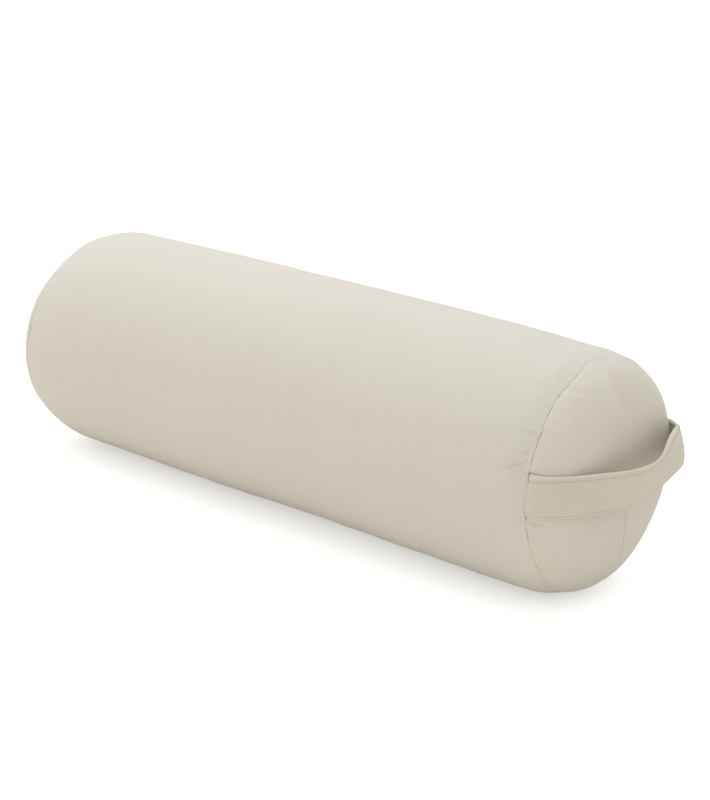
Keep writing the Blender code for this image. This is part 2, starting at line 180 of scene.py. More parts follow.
def distances(points):
    """How far each point of a line lies along it from the first one."""
    return np.concatenate([[0], np.cumsum(np.linalg.norm(np.diff(points, axis=0), axis=-1))])


def paired(down, across):
    """Pairs of values over a grid, from two arrays that broadcast to it."""
    return np.stack(np.broadcast_arrays(down, across), -1)


def spaced(finest, coarsest, growth, total):
    """Distances from 0 to a total, whose steps grow from the finest to the coarsest."""
    places = [0.0]
    step = finest
    while places[-1] + step < total - step / 2:
        places.append(places[-1] + step)
        step = min(step * growth, coarsest)
    return np.array([*places, total])


def add_piece(name, mesh, finish):
    mesh.shade_smooth()
    mesh.materials.append(finish)
    made = bpy.data.objects.new(name, mesh)
    bpy.context.scene.collection.objects.link(made)
    return made


def quads(rows, columns, row_spans, column_spans):
    """The row and column of each face between a grid's points, and the numbers of its corners."""
    row, column = np.meshgrid(np.arange(row_spans), np.arange(column_spans), indexing="ij")
    row, column = row.ravel(), column.ravel()
    beside, below = (column + 1) % columns, (row + 1) % rows
    corners = np.stack([row * columns + column, row * columns + beside,
                        below * columns + beside, below * columns + column], -1)
    return row, column, corners.tolist()


def end_faces(rows, columns):
    """One face over a closed grid's first row and one over its last, wound to face outwards."""
    return {"first": list(range(columns))[::-1], "last": list(range((rows - 1) * columns, rows * columns))}


def grid_piece(name, points, flat, finish, worn_and_highlit=None, round_it=False, closed=()):
    """An object whose faces join neighbouring points of a grid.

    flat is each point's place on the cut cloth, in metres, kept as the UV map. The fifth argument, a
    pale-fold mask, is 1 where a fold is paler, partly for rubbing and partly as painted highlight.
    round_it joins the last column to the first, and then flat has one more.
    closed names the rows, first or last, that a face closes.
    """
    rows, columns = points.shape[:2]
    row, column, faces = quads(rows, columns, rows - 1, columns if round_it else columns - 1)
    faces += [end_faces(rows, columns)[end] for end in closed]
    mesh = bpy.data.meshes.new(name)
    mesh.from_pydata(points.reshape(-1, 3).tolist(), [], faces)
    flat_corners = np.stack([flat[row, column], flat[row, column + 1],
                             flat[row + 1, column + 1], flat[row + 1, column]], 1)
    flat_corners = np.append(flat_corners, np.zeros(2 * columns * len(closed))).astype(np.float32)
    mesh.uv_layers.new(name="cut_cloth").uv.foreach_set("vector", flat_corners)
    # The pale-fold mask: paler cloth along folds, partly rubbing and partly painted highlight on the
    # ridges.
    wear_and_highlight = mesh.attributes.new("worn_and_highlit", "FLOAT", "POINT")
    wear_and_highlight.data.foreach_set("value", np.zeros(rows * columns) if worn_and_highlit is None else worn_and_highlit.ravel())
    made = add_piece(name, mesh, finish)
    if closed:
        mesh.set_sharp_from_angle(angle=np.radians(50))
    return made


def shell(points, wrap_rows=False):
    """A closed solid's points and faces from a grid whose columns close round. Its first and last
    rows are closed by a face each, or joined to each other."""
    rows, columns = points.shape[:2]
    faces = quads(rows, columns, rows if wrap_rows else rows - 1, columns)[2]
    if not wrap_rows:
        faces += end_faces(rows, columns).values()
    return points.reshape(-1, 3), faces


def solid_piece(name, shells, finish, sharp=40):
    """One object from several closed shells, with edges sharp from that many degrees, or none."""
    points, faces, count = [], [], 0
    for shell_points, shell_faces in shells:
        points.append(shell_points)
        faces.extend([[count + corner for corner in face] for face in shell_faces])
        count += len(shell_points)
    mesh = bpy.data.meshes.new(name)
    mesh.from_pydata(np.concatenate(points).tolist(), [], faces)
    made = add_piece(name, mesh, finish)
    if sharp:
        mesh.set_sharp_from_angle(angle=np.radians(sharp))
    return made


def thicken(piece, thickness):
    """Gives a sheet its thickness, inwards."""
    solidify = piece.modifiers.new("thickness", "SOLIDIFY")
    solidify.thickness = thickness
    solidify.offset = -1
    return piece


def body_wall(x):
    """The barrel's radius at x: less by the crown's fourth power, and drawn in at the shoulders."""
    share = np.abs(x) / half_body
    shoulder = np.maximum(0, (np.abs(x) - half_body + shoulder_length) / shoulder_length)
    return body_radius - body_crown * share**4 - shoulder_draw * shoulder**2


def seam_wander(degrees):
    """How far the strap's ring seam strays along X from its plane, by the angle up from the rear."""
    drawn_back = 0.0060 * hump(degrees, 98, 7) + 0.0030 * hump(degrees, 130, 18)
    drawn_back += 0.0012 * hump(degrees, 160, 9)
    drawn_out = 0.0012 * hump(degrees, 86, 5) + 0.0042 * hump(degrees, 215, 21)
    return drawn_out - drawn_back


slack_place = 188
slack_spread = 44


def far_slack(degrees):
    """The share of the far ring's slack at the front, where the cover sits a little further out."""
    return hump(degrees, slack_place, slack_spread)


def wall_round(x, angle, wall, inset=0.0, rear_inset=0.0):
    """Points at a radius from the axis, cut off softly by the floor and by the zip's flat seam,
    or by flats that far inside them."""
    across, up = np.cos(angle), np.sin(angle)
    floor_limit = (axis_height - inset) / np.maximum(-up, 1e-3)
    rear_limit = (rear_face - rear_inset) / np.maximum(across, 1e-3)
    radius = lesser(lesser(wall, floor_limit), rear_limit)
    return np.stack([x, radius * across, axis_height + radius * up], -1)


rim_fill = 0.0018
rim_swell = (72, 14)
far_fill = 0.0018
fill_length = 0.012
far_reach = 0.0038
gather_seed = 11


def tube_changes(x, degrees, from_seam):
    """What pressing, drawing in and packing do to the barrel, as a change of its radius.

    Each row is one swell or hollow: its height, its place and spread along X, and its place and
    spread in degrees round the barrel. The last term is the low welt beside each ring seam.
    """
    swells = ((-0.0034, 0.280, 0.036, 80, 30), (-0.0014, 0.222, 0.030, 80, 30),
              (rim_fill, half_body, fill_length, *rim_swell),
              (far_fill, -half_body, fill_length, slack_place, slack_spread),
              (-0.0018, 0.060, 0.110, 240, 26), (0.0014, 0.262, 0.045, 244, 24),
              (-0.0028, -0.300, 0.026, 118, 22), (-0.0010, -0.230, 0.070, 240, 22))
    change = 0
    for height, place, length, direction, spread in swells:
        change = change + height * hump(x, place, length) * hump(degrees, direction, spread)
    return change + 0.0005 * hump(from_seam, 0.0021, 0.0012)


def ring_puckers(from_seam, degrees, height, reach, seed):
    """Small gathers square to a ring seam: bells at uneven angles, deepest at the seam."""
    pick = np.random.default_rng(seed)
    change = np.zeros(np.broadcast(from_seam, degrees).shape)
    place = 0.0
    while place < 360:
        spread = pick.uniform(1.0, 2.6)
        depth = height * pick.uniform(0.25, 1.0)
        length = reach * pick.uniform(0.6, 1.5)
        lean = pick.uniform(-120, 120)
        middle = place + lean * from_seam
        distance = (degrees - middle + 180) % 360 - 180
        change -= depth * hump(distance, 0, spread) * np.exp(-from_seam / length)
        place += pick.uniform(4, 11)
    return change


# Lines of points round the tube, by their place along it: closest together at the ring seams, and
# where the zip's slot closes.
near_half = half_body - spaced(0.0004, 0.0085, 1.13, half_body)[::-1]
along = np.concatenate([-near_half[:0:-1], near_half])
slot_end = 0.2315
slot_reach = 0.006
slot_lines = np.array([0.2262, 0.2285, 0.2300, 0.2308, 0.2317, 0.2326, 0.2334, 0.2342, 0.2365])
along = along[np.abs(np.abs(along) - slot_end) > slot_reach]
along = np.sort(np.concatenate([along, slot_lines, -slot_lines]))
half_round = np.pi * body_radius
edge_steps = spaced(0.0006, 0.0022, 1.18, half_round) / half_round
shares = np.concatenate([edge_steps, 2 - edge_steps[-2::-1]]) / 2

opening = soft_step(zip_half_length + opening_taper - np.abs(along), 0, opening_taper)
half_gap = seam_gap / 2 + (zip_half_opening - seam_gap / 2) * opening
edge_angle = np.arcsin((half_gap + fold_radius) / body_radius)
angle = edge_angle[:, None] + (2 * np.pi - 2 * edge_angle[:, None]) * shares
degrees = np.degrees(angle)
from_seam = half_body - np.abs(along)[:, None]
fold_room = 0.52 * fold_radius
wander_length = 0.08
slack_length = 0.04
sheet_x = along[:, None] * (half_body - seam_gap / 2 - fold_room) / half_body
shifted = sheet_x + seam_wander(degrees) * soft_step(along, half_body - wander_length, half_body)[:, None]
shifted -= far_reach * far_slack(degrees) * soft_step(-along, half_body - slack_length, half_body)[:, None]
tube = wall_round(shifted, angle, body_wall(along)[:, None] + tube_changes(sheet_x, degrees, from_seam))

round_cloth = angle * body_radius
level = (degrees - 180) * np.pi / 180 * body_radius
change = stuffing(tube, 0.16, 0.0005, 4)
change += stuffing(tube, 0.045, 0.00020, 7)
change += ring_puckers(from_seam, degrees, 0.0007, 0.014, gather_seed)
# Each fold's middle along and round the tube, its direction, and its length, width and height.
tube_folds = (((0.3045, -0.0348), -33, 0.011, 0.0021, 0.0020),
              ((0.3115, -0.0480), -40, 0.008, 0.0019, 0.0012),
              ((0.3120, -0.0655), 186, 0.009, 0.0030, 0.0014),
              ((0.3140, 0.0125), -34, 0.009, 0.0026, 0.0009),
              ((0.3000, -0.1280), 240, 0.017, 0.0032, 0.0012))
for fold in tube_folds:
    change += fold_line(along[:, None], level, *fold)
ripple_height = 0.00022
ripple_length = 0.0145
ripple_reach = 0.30
full_round = 2 * np.pi * body_radius
from_edge = np.minimum(round_cloth, full_round - round_cloth)
zip_ripple = ripple_height * np.sin(along * 2 * np.pi / ripple_length + np.sin(along * 31) * 1.5)[:, None]
zip_ripple = zip_ripple * hump(from_edge, 0.007, 0.006)
change += zip_ripple * soft_step(ripple_reach - np.abs(along), 0, 0.02)[:, None]
change *= soft_step(tube[..., 2], 0.0, 0.004)
tube = tube + outwards(tube) * change[..., None]

normal = outwards(tube)
down, beside = slopes(tube)
wide = turned_sides(tube, normal, -unit(beside[:, 0]), unit(beside[:, -1]), fold_radius)
wide_normal, wide_down = padded_sides(normal), padded_sides(down)
near_fold = turned_in(wide[0], wide_normal[0], -unit(wide_down[0]), fold_radius, fold_tail)[::-1]
far_fold = turned_in(wide[-1], wide_normal[-1], unit(wide_down[-1]), fold_radius, fold_tail)
tube_points = np.concatenate([near_fold, wide, far_fold])
flat_x = np.concatenate([-half_body - fold_arc[::-1], along, half_body + fold_arc])
flat_round = padded_sides(round_cloth)
flat_round[:, :turned_rows] -= fold_arc[::-1]
flat_round[:, -turned_rows:] += fold_arc
flat_round = padded_sides(flat_round.T).T
tube_flat = paired(flat_x[:, None], flat_round)
seam_distance = np.abs(half_body - np.abs(flat_x))[:, None]
edge_distance = np.abs(np.minimum(flat_round, full_round - flat_round) - flat_round[0, turned_rows])
# Paler along the seam folds and the zip's folded edges: partly rubbing, partly painted highlight on the
# ridges.
tube_worn_and_highlit = np.maximum(hump(seam_distance, 0.0008, 0.0011), hump(edge_distance, 0, 0.0009))


def dye(red, green, blue):
    """A colour's linear light from its screen values of 0 to 255."""
    values = np.array((red, green, blue)) / 255
    linear = np.where(values <= 0.04045, values / 12.92, ((values + 0.055) / 1.055) ** 2.4)
    return (*linear.tolist(), 1.0)


def darker(colour, share):
    """The colour with that share of its light."""
    return (*(share * value for value in colour[:3]), 1.0)


def feed(tree, socket, value):
    """Gives an input its value: a link from another node's output, or else a plain setting."""
    if isinstance(value, bpy.types.NodeSocket):
        tree.links.new(value, socket)
    else:
        socket.default_value = value


def feed_all(tree, node, values):
    """Feeds a node's inputs by name, written with _ for a space."""
    for name, value in values.items():
        feed(tree, node.inputs[name.replace("_", " ")], value)


def add_node(tree, kind, group=None, **values):
    """A new node, or a node group placed in the tree, with its inputs fed."""
    node = tree.nodes.new("ShaderNode" + kind)
    if group:
        node.node_tree = group
    feed_all(tree, node, values)
    return node


def calculate(tree, operation, *values):
    """A Math node over sockets or plain numbers."""
    node = add_node(tree, "Math")
    node.operation = operation
    for socket, value in zip(node.inputs, values):
        feed(tree, socket, value)
    return node.outputs[0]


def mix_colour(tree, share, first, second, blend="MIX"):
    """A Mix node set to colours, whose inputs 0, 6 and 7 are the share and the two colours."""
    node = add_node(tree, "Mix")
    node.data_type = "RGBA"
    node.blend_type = blend
    for number, value in ((0, share), (6, first), (7, second)):
        feed(tree, node.inputs[number], value)
    return node.outputs[2]


def noise(tree, place, scale, detail, stretch=None):
    """Noise from 0 to 1 at a place, finer with a larger scale, in space that may be stretched."""
    if stretch is not None:
        place = add_node(tree, "Mapping", Vector=place, Scale=stretch).outputs["Vector"]
    return add_node(tree, "TexNoise", Vector=place, Scale=scale, Detail=detail).outputs["Fac"]


def split(tree, vector):
    """A vector's X, Y and Z as outputs."""
    parts = add_node(tree, "SeparateXYZ")
    tree.links.new(vector, parts.inputs[0])
    return parts.outputs


def socket_in(tree, name, kind, default=None):
    made = tree.interface.new_socket(name, in_out="INPUT", socket_type=kind)
    if default is not None:
        made.default_value = default


def make_weave():
    """Plain weave: threads as sine ridges, one set over the other on every second crossing."""
    tree = bpy.data.node_groups.new("weave", "ShaderNodeTree")
    socket_in(tree, "Cut cloth", "NodeSocketVector")
    socket_in(tree, "Thread pitch", "NodeSocketFloat", 0.0005)
    socket_in(tree, "Slub", "NodeSocketFloat", 0.3)
    tree.interface.new_socket("Height", in_out="OUTPUT", socket_type="NodeSocketFloat")
    start = tree.nodes.new("NodeGroupInput").outputs
    end = tree.nodes.new("NodeGroupOutput").inputs
    places = split(tree, start["Cut cloth"])
    ridges, cells = [], []
    for axis in ("X", "Y"):
        threads = calculate(tree, "DIVIDE", places[axis], start["Thread pitch"])
        ridge = calculate(tree, "SINE", calculate(tree, "MULTIPLY", threads, float(np.pi)))
        ridges.append(calculate(tree, "ABSOLUTE", ridge))
        cells.append(calculate(tree, "FLOOR", threads))
    odd = calculate(tree, "MODULO", calculate(tree, "ADD", *cells), 2.0)
    odd = calculate(tree, "ABSOLUTE", odd)
    over = []
    for top, under in (ridges, ridges[::-1]):
        bow = calculate(tree, "MULTIPLY_ADD", under, 0.5, 0.5)
        over.append(calculate(tree, "MULTIPLY", top, bow))
    choice = add_node(tree, "Mix")
    for number, value in ((0, odd), (2, over[0]), (3, over[1])):
        feed(tree, choice.inputs[number], value)
    slub = noise(tree, start["Cut cloth"], 420, 2, (1, 0.24, 1))
    slub = calculate(tree, "MULTIPLY", calculate(tree, "SUBTRACT", slub, 0.5), start["Slub"])
    feed(tree, end["Height"], calculate(tree, "ADD", choice.outputs[0], slub))
    return tree


def make_nap():
    """Brushed cotton's colour: two sizes of mottling, painted shade between the threads, and paler along
    folds, partly for rubbing and partly as painted highlight.
    """
    tree = bpy.data.node_groups.new("brushed nap", "ShaderNodeTree")
    socket_in(tree, "Place", "NodeSocketVector")
    socket_in(tree, "Colour", "NodeSocketColor")
    socket_in(tree, "Thread height", "NodeSocketFloat", 0.5)
    socket_in(tree, "Worn", "NodeSocketFloat", 0.0)
    socket_in(tree, "Mottle", "NodeSocketFloat", 0.05)
    for name, kind in (("Colour", "NodeSocketColor"), ("Roughness", "NodeSocketFloat")):
        tree.interface.new_socket(name, in_out="OUTPUT", socket_type=kind)
    start = tree.nodes.new("NodeGroupInput").outputs
    end = tree.nodes.new("NodeGroupOutput").inputs
    broad = noise(tree, start["Place"], 16, 2)
    fine = noise(tree, start["Place"], 230, 3)
    both = calculate(tree, "ADD", calculate(tree, "MULTIPLY", broad, 0.9), fine)
    swing = calculate(tree, "MULTIPLY", calculate(tree, "SUBTRACT", both, 0.95), start["Mottle"])
    # Painted shade: the colour is darker where the threads sink between each other.
    thread = calculate(tree, "MULTIPLY", calculate(tree, "SUBTRACT", start["Thread height"], 0.45), 0.10)
    # Paler along the pale-fold mask: partly rubbing, partly painted highlight on the ridges.
    lightened = calculate(tree, "MULTIPLY", start["Worn"], 0.05)
    light = calculate(tree, "ADD", calculate(tree, "ADD", swing, thread), lightened)
    light = calculate(tree, "ADD", light, 1.0)
    grey = add_node(tree, "CombineColor", Red=light, Green=light, Blue=light)
    feed(tree, end["Colour"], mix_colour(tree, 1.0, start["Colour"], grey.outputs[0], "MULTIPLY"))
    feed(tree, end["Roughness"], calculate(tree, "MULTIPLY_ADD", fine, 0.2, 0.72))
    return tree


weave = make_weave()
nap = make_nap()


def start_material(name):
    """A material, its node tree, and the socket for places in the object."""
    made = bpy.data.materials.new(name)
    made.use_nodes = True
    return made, made.node_tree, add_node(made.node_tree, "TexCoord").outputs["Object"]


def cut_cloth(tree):
    """The socket for places on the cut cloth."""
    cut = add_node(tree, "UVMap")
    cut.uv_map = "cut_cloth"
    return cut.outputs[0]


def shade(made, **values):
    """Feeds the inputs of a material's own shader, and gives the material back."""
    feed_all(made.node_tree, made.node_tree.nodes["Principled BSDF"], values)
    return made


def bump(tree, height, distance):
    return add_node(tree, "Bump", Height=height, Distance=distance, Strength=1.0).outputs[0]


def woven(name, colour, pitch, relief, slub, mottle=0.05, sheen=0.25):
    """A woven, brushed cloth with its own dye, thread pitch and thread height in metres."""
    made, tree, place = start_material(name)
    threads = add_node(tree, "Group", weave, Cut_cloth=cut_cloth(tree), Thread_pitch=pitch, Slub=slub)
    height = threads.outputs["Height"]
    # The pale-fold mask: paler cloth along folds and seams, partly for rubbing and partly as painted
    # highlight on the ridges.
    worn_and_highlit = add_node(tree, "Attribute")
    worn_and_highlit.attribute_name = "worn_and_highlit"
    brushed = add_node(tree, "Group", nap, Place=place, Colour=colour, Thread_height=height,
                       Worn=worn_and_highlit.outputs["Fac"], Mottle=mottle).outputs
    return shade(made, Base_Color=brushed["Colour"], Roughness=brushed["Roughness"],
                 Normal=bump(tree, height, relief), Specular_IOR_Level=0.25,
                 Sheen_Weight=sheen, Sheen_Roughness=0.45)


cover_cloth = woven("cover cloth", dye(214, 209, 197), yarn_pitch, yarn_relief, slub=yarn_slub)
cover_tube = grid_piece("cover_barrel", tube_points, tube_flat, cover_cloth, tube_worn_and_highlit)
thicken(cover_tube, cloth_thickness)
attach(cover_tube, "bolster")
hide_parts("cover_tube")


# The end panels
# Each end is two half-moons of the same cotton, sewn edge to edge in an upright seam and filled
# out into a blunt dome. The rim is turned in at the ring seam. At the strap's end the rim is
# pressed in under each of the strap's sewn roots.

end_bulge = 0.038
across_power = 3.7
outward_power = 1.75
panel_fold = 0.0005
strap_height = 0.010
strap_width = 0.038
strap_press = 0.0021


def dome_line():
    """The dome from rim to middle, as a super-ellipse: its radius, reach and distance from the rim,
    and the two parts of its outward direction, away from the axis and along it."""
    turn = np.linspace(0, np.pi / 2, 4001)
    radius = end_radius * np.cos(turn) ** (2 / across_power)
    radius[-1] = 0
    reach = end_bulge * np.sin(turn) ** (2 / outward_power)
    length = np.concatenate([[0], np.cumsum(np.hypot(np.diff(radius), np.diff(reach)))])
    start = np.searchsorted(reach, fold_radius)
    outward = np.gradient(reach, length)
    forward = -np.gradient(radius, length)
    forward[-2:], outward[-2:] = 1, 0
    kept = (radius, reach, length - length[start], outward, forward)
    return [values[start:] for values in kept]


dome_radius, dome_reach, dome_length, dome_outward, dome_forward = dome_line()
dome_steps = spaced(0.0005, 0.0024, 1.12, dome_length[-1])
from_rim = dome_steps[:, None]
panel_columns = 190
# Each fold's middle down from the rim and round it, its direction, and its length, width and height.
panel_folds = (((0.008, 0.015), 17, 0.010, 0.0018, 0.0017),
               ((0.012, 0.075), 24, 0.014, 0.0040, 0.0006),
               ((0.005, -0.065), 180, 0.010, 0.0030, 0.0010),
               ((0.029, -0.080), 27, 0.008, 0.0030, 0.0007),
               ((0.014, -0.118), -30, 0.016, 0.0038, 0.0008),
               ((0.014, -0.149), 8, 0.010, 0.0030, 0.0009),
               ((0.020, -0.178), 23, 0.014, 0.0036, 0.0010))
seam_bends = ((0.0100, 0.112, 0.016), (-0.0055, 0.035, 0.045), (0.0095, -0.085, 0.036))


def middle_seam(y, z):
    """Half-moon points slid round the dome, so that the upright seam wanders as the sewn one does.

    Each bend has a reach across, a height and a spread. The slide is full at the seam and fades out
    away from it. Near the rim it keeps the radius.
    """
    slide = sum(reach * hump(z, height, spread) for reach, height, spread in seam_bends)
    radius = np.hypot(y, z)
    y = y + slide * (1 - soft_step(np.abs(y), 0, 0.06))
    kept = np.sign(z) * np.sqrt(np.maximum(radius**2 - y**2, 0))
    return y, z + (kept - z) * soft_step(np.abs(z), 0.05, 0.085)


def down_dome(values):
    """The dome line's values at each line of a panel's points, as a column."""
    return np.interp(dome_steps, dome_length, values)[:, None]


def with_rim(values):
    """The values with their first row repeated, for the turned-in rim."""
    return np.concatenate([values[:1].repeat(turned_rows, 0), values])


def handle_reach(reach, radius, degrees, z):
    """How far out the strap's end stands: its rim strays with the ring seam, and the dome leans out
    above the axis and in below it."""
    x = reach + seam_wander(degrees) * (1 - soft_step(from_rim, 0, 0.75 * dome_length[-1]))
    lean = (0.0030 * z - 0.0006 * np.abs(z)) / end_radius * hump(radius, 0.080, 0.040)
    return x + lean * soft_step(from_rim, 0, 0.022)


def plain_reach(reach, radius, degrees):
    """How far out the plain end stands: its rim is further out at the front, where the ring has
    slack, and the dome is flatter high up at the front."""
    x = reach + far_reach * far_slack(degrees) * (1 - soft_step(from_rim, 0, 0.018))
    return x - 0.0060 * hump(degrees, 120, 24) * hump(radius, 0.096, 0.036)


def handle_changes(change, degrees, height):
    """The strap's end, pressed in under the strap's roots, filled out and folded beside the strap."""
    beside_strap = soft_step(strap_width / 2 + 0.0018 - np.abs(height - strap_height), 0, 0.003)
    pressed = np.clip(1 - from_rim / 0.013, 0, 1) ** 2
    change = change - strap_press * beside_strap * pressed
    change += 0.0014 * hump(degrees, 288, 28) * hump(from_rim, 0.024, 0.026)
    change += rim_fill * hump(from_rim, 0, fill_length) * hump(degrees, *rim_swell)
    along_rim = (degrees - 180) * np.pi / 180 * end_radius
    for fold in panel_folds:
        change += fold_line(from_rim, along_rim, *fold)
    return change


def plain_changes(change, degrees):
    """The plain end, hollowed low at the front and filled out where its ring has slack."""
    change = change - 0.0018 * hump(degrees, 236, 20) * hump(from_rim, 0.006, 0.018)
    return change + far_fill * hump(from_rim, 0, fill_length) * far_slack(degrees)


def panel_places(side, far):
    """A half-moon's points before they are stuffed, their outward directions, their degrees up from
    the rear, and their distances to the dome's middle and from the upright seam.

    They go in from the rim to the middle, and round between the top and the foot. Below the axis
    the upright seam is drawn open a little.
    """
    radius, reach = down_dome(dome_radius), down_dome(dome_reach)
    column = np.arange(panel_columns + 1)
    ends = np.minimum(column, panel_columns - column)
    sweep = np.pi * column / panel_columns
    drawn_open = (0.00008 if far else 0.00024) * soft_step(-radius * np.cos(sweep), 0, 0.035)
    least = seam_gap / 2 + panel_fold + 0.000005 * ends + drawn_open
    from_middle = np.maximum(radius * np.sin(sweep), least)
    y, z = middle_seam(side * from_middle, radius * np.cos(sweep))
    degrees = np.degrees(np.arctan2(z, y)) % 360
    to_middle = dome_length[-1] - from_rim + np.hypot(y, z) - radius
    x = plain_reach(reach, radius, degrees) if far else handle_reach(reach, radius, degrees, z)
    points = np.stack([half_body + seam_gap / 2 + x, y, axis_height + z], -1)
    outward, forward = down_dome(dome_outward), down_dome(dome_forward)
    across, up = side * np.sin(sweep), np.cos(sweep)
    normal = unit(np.stack([forward + 0 * sweep, outward * across, outward * up], -1))
    grids = (points, normal, degrees, to_middle, from_middle)
    return [grid[:, ::-1] for grid in grids] if side > 0 else grids


def end_panel(name, side, far, finish):
    """One half-moon. side is -1 at the front and 1 at the rear, and far is the plain end."""
    points, normal, degrees, to_middle, from_middle = panel_places(side, far)
    height = points[..., 2] - axis_height
    below = soft_step(-height, 0, 0.03)
    seam_dip = (0.00030 + 0.00025 * below) * hump(from_middle, 0, 0.0036)
    seam_dip += 0.0007 * below * hump(from_middle, 0, 0.0013)
    change = stuffing(points * (-1 if far else 1), 0.12, 0.00045, 21) * soft_step(from_rim, 0, 0.02)
    change += ring_puckers(from_rim, degrees, 0.0006, 0.013, gather_seed)
    change -= seam_dip
    change += 0.00025 * hump(from_rim, 0.0028, 0.0018)
    change = plain_changes(change, degrees) if far else handle_changes(change, degrees, height)
    points = points + normal * change[..., None]
    toward = np.array((0, -side, 0.0))
    inward = unit(toward - normal * (normal @ toward)[..., None])
    wide = turned_sides(points, normal, inward[:, 0], inward[:, -1], panel_fold)
    rim = turned_in(wide[0], padded_sides(normal)[0], np.array((-1.0, 0, 0)), fold_radius, fold_tail)
    points = np.concatenate([rim[::-1], wide])
    flat = np.stack([to_middle * np.cos(np.radians(degrees)), to_middle * np.sin(np.radians(degrees))], -1)
    flat = with_rim(padded_sides(flat))
    rim_distance = np.concatenate([-fold_arc[::-1], dome_steps])[:, None]
    # Painted highlight: the ridge beside the upright seam is paler above the axis only, where the light
    # falls on it. The rim fold is paler partly for rubbing and partly as painted highlight.
    lightened = 0.8 * (1 - below) * hump(from_middle, 0.0006, 0.0009)
    worn_and_highlit = np.maximum(hump(rim_distance, 0.0, 0.0009), with_rim(padded_sides(lightened)))
    if far:
        points = points * (-1, 1, 1)
        points, flat, worn_and_highlit = points[:, ::-1], flat[:, ::-1], worn_and_highlit[:, ::-1]
    return thicken(grid_piece(name, points, flat, finish, worn_and_highlit), cloth_thickness)


# The cover's cotton, dyed a touch warmer: painted warmth of the shade on the end panels.
shaded_panel_cloth = woven("shaded end panel cloth", dye(214, 209, 195), yarn_pitch, yarn_relief, slub=yarn_slub)
for end, far in (("handle", False), ("plain", True)):
    for place, side in (("front", -1), ("rear", 1)):
        panel = end_panel(f"{end}_panel_{place}", side, far, shaded_panel_cloth)
        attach(panel, "bolster")
        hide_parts(f"{end}_end_panel_{place}")


# The carry strap
# A sleeve of cover cotton folded round a strip of webbing, topstitched along both edges and sewn
# into the ring seam at its two roots. It lies on the dome near them and bows clear of it between,
# so that a hand goes in behind it.

strap_thickness = 0.0034
strap_bow = 0.022
strap_lean = 0.0037
strap_peak = 83
front_spread = 26
rear_spread = 38.6
rear_twist = 17.9
swell = 0.0097
swell_lean = 0.0018
swell_place = 116
swell_spread = 28
swell_rise = 0.0175
corner_rise = 0.0036
corner_place = 158
corner_spread = 14
press_reach = 0.009
webbing_half_width = 0.0165
webbing_half_depth = 0.0005


def strap_line(turn, height):
    """Points on the strap's middle layer, by the turn in degrees from the front root to the rear
    one and the height above the strap's middle.

    It follows the dome, raised by half its thickness, plus a bell-shaped bow round the peak and a
    second one behind it, where it also rises, its upper edge most. At the roots it goes in under
    the tube's edge.
    """
    turn, height = np.broadcast_arrays(turn, height)
    z = strap_height + height
    lift = strap_thickness / 2 + 0.0005
    radius = end_radius + lift
    y = -np.sqrt(radius**2 - z**2) * np.cos(np.radians(turn))
    inside = np.clip(1 - (np.hypot(y, z) / radius) ** across_power, 0, 1)
    x = (end_bulge + lift) * inside ** (1 / outward_power)
    root = np.clip(1 - x / press_reach, 0, 1) ** 2
    y = y - np.sign(y) * 0.0030 * root
    level = height / (strap_width / 2)
    spread = np.where(turn < strap_peak, front_spread, rear_spread - rear_twist * level)
    x = x + (strap_bow + strap_lean * level) * hump(turn, strap_peak, spread)
    behind = hump(turn, swell_place, swell_spread)
    x = x + (swell + swell_lean * level) * behind
    rise = swell_rise * behind + corner_rise * (level + 1) / 2 * hump(turn, corner_place, corner_spread)
    return np.stack([half_body + seam_gap / 2 + x, y, axis_height + z + rise], -1)


def strap_frame(turn, height):
    """Middle-layer points with their outward and lengthwise directions, from small steps."""
    step = 0.02
    ahead = strap_line(np.minimum(turn + step, 180), height)
    ahead = ahead - strap_line(np.maximum(turn - step, 0), height)
    upward = strap_line(turn, height + 1e-4) - strap_line(turn, height - 1e-4)
    return strap_line(turn, height), unit(np.cross(ahead, upward)), unit(ahead)


def upper_row(turn):
    """The upper stitch line's height above the strap's middle: the hem is widest at the front root."""
    return strap_width / 2 - 0.0046 - 0.0024 * hump(turn, 0, 13)


def lower_row(turn):
    """The lower stitch line's height above the strap's middle, which also hems widest at the front."""
    return 0.0024 + 0.0020 * hump(turn, 0, 9) - strap_width / 2


def strap_half_depth(turn, height):
    """Half the thickness: a flat oval, fuller in the rolled edges, pressed in at each stitch line
    and where it goes into the seam."""
    share = np.clip(np.abs(height) / (strap_width / 2), 0, 1)
    depth = strap_thickness / 2 * (1 - share**9) ** 0.5
    top, bottom = upper_row(turn), lower_row(turn)
    creased = 0.42 + 0.24 * hump(turn, 0, 16)
    depth = depth * (1 - creased * hump(height, top, 0.0011) - creased * hump(height, bottom, 0.0008))
    depth = depth * (1 + 0.24 * hump(height, (top + strap_width / 2) / 2, 0.0018))
    ends = np.minimum(turn, 180 - turn)
    return depth * (0.55 + 0.45 * soft_step(ends, 0, 9))


def strap_wave(middle, turn):
    """The soft unevenness of the strap, off its middle layer. It fades out at the roots."""
    return stuffing(middle, 0.035, 0.00022, 51) * soft_step(np.minimum(turn, 180 - turn), 2, 12)


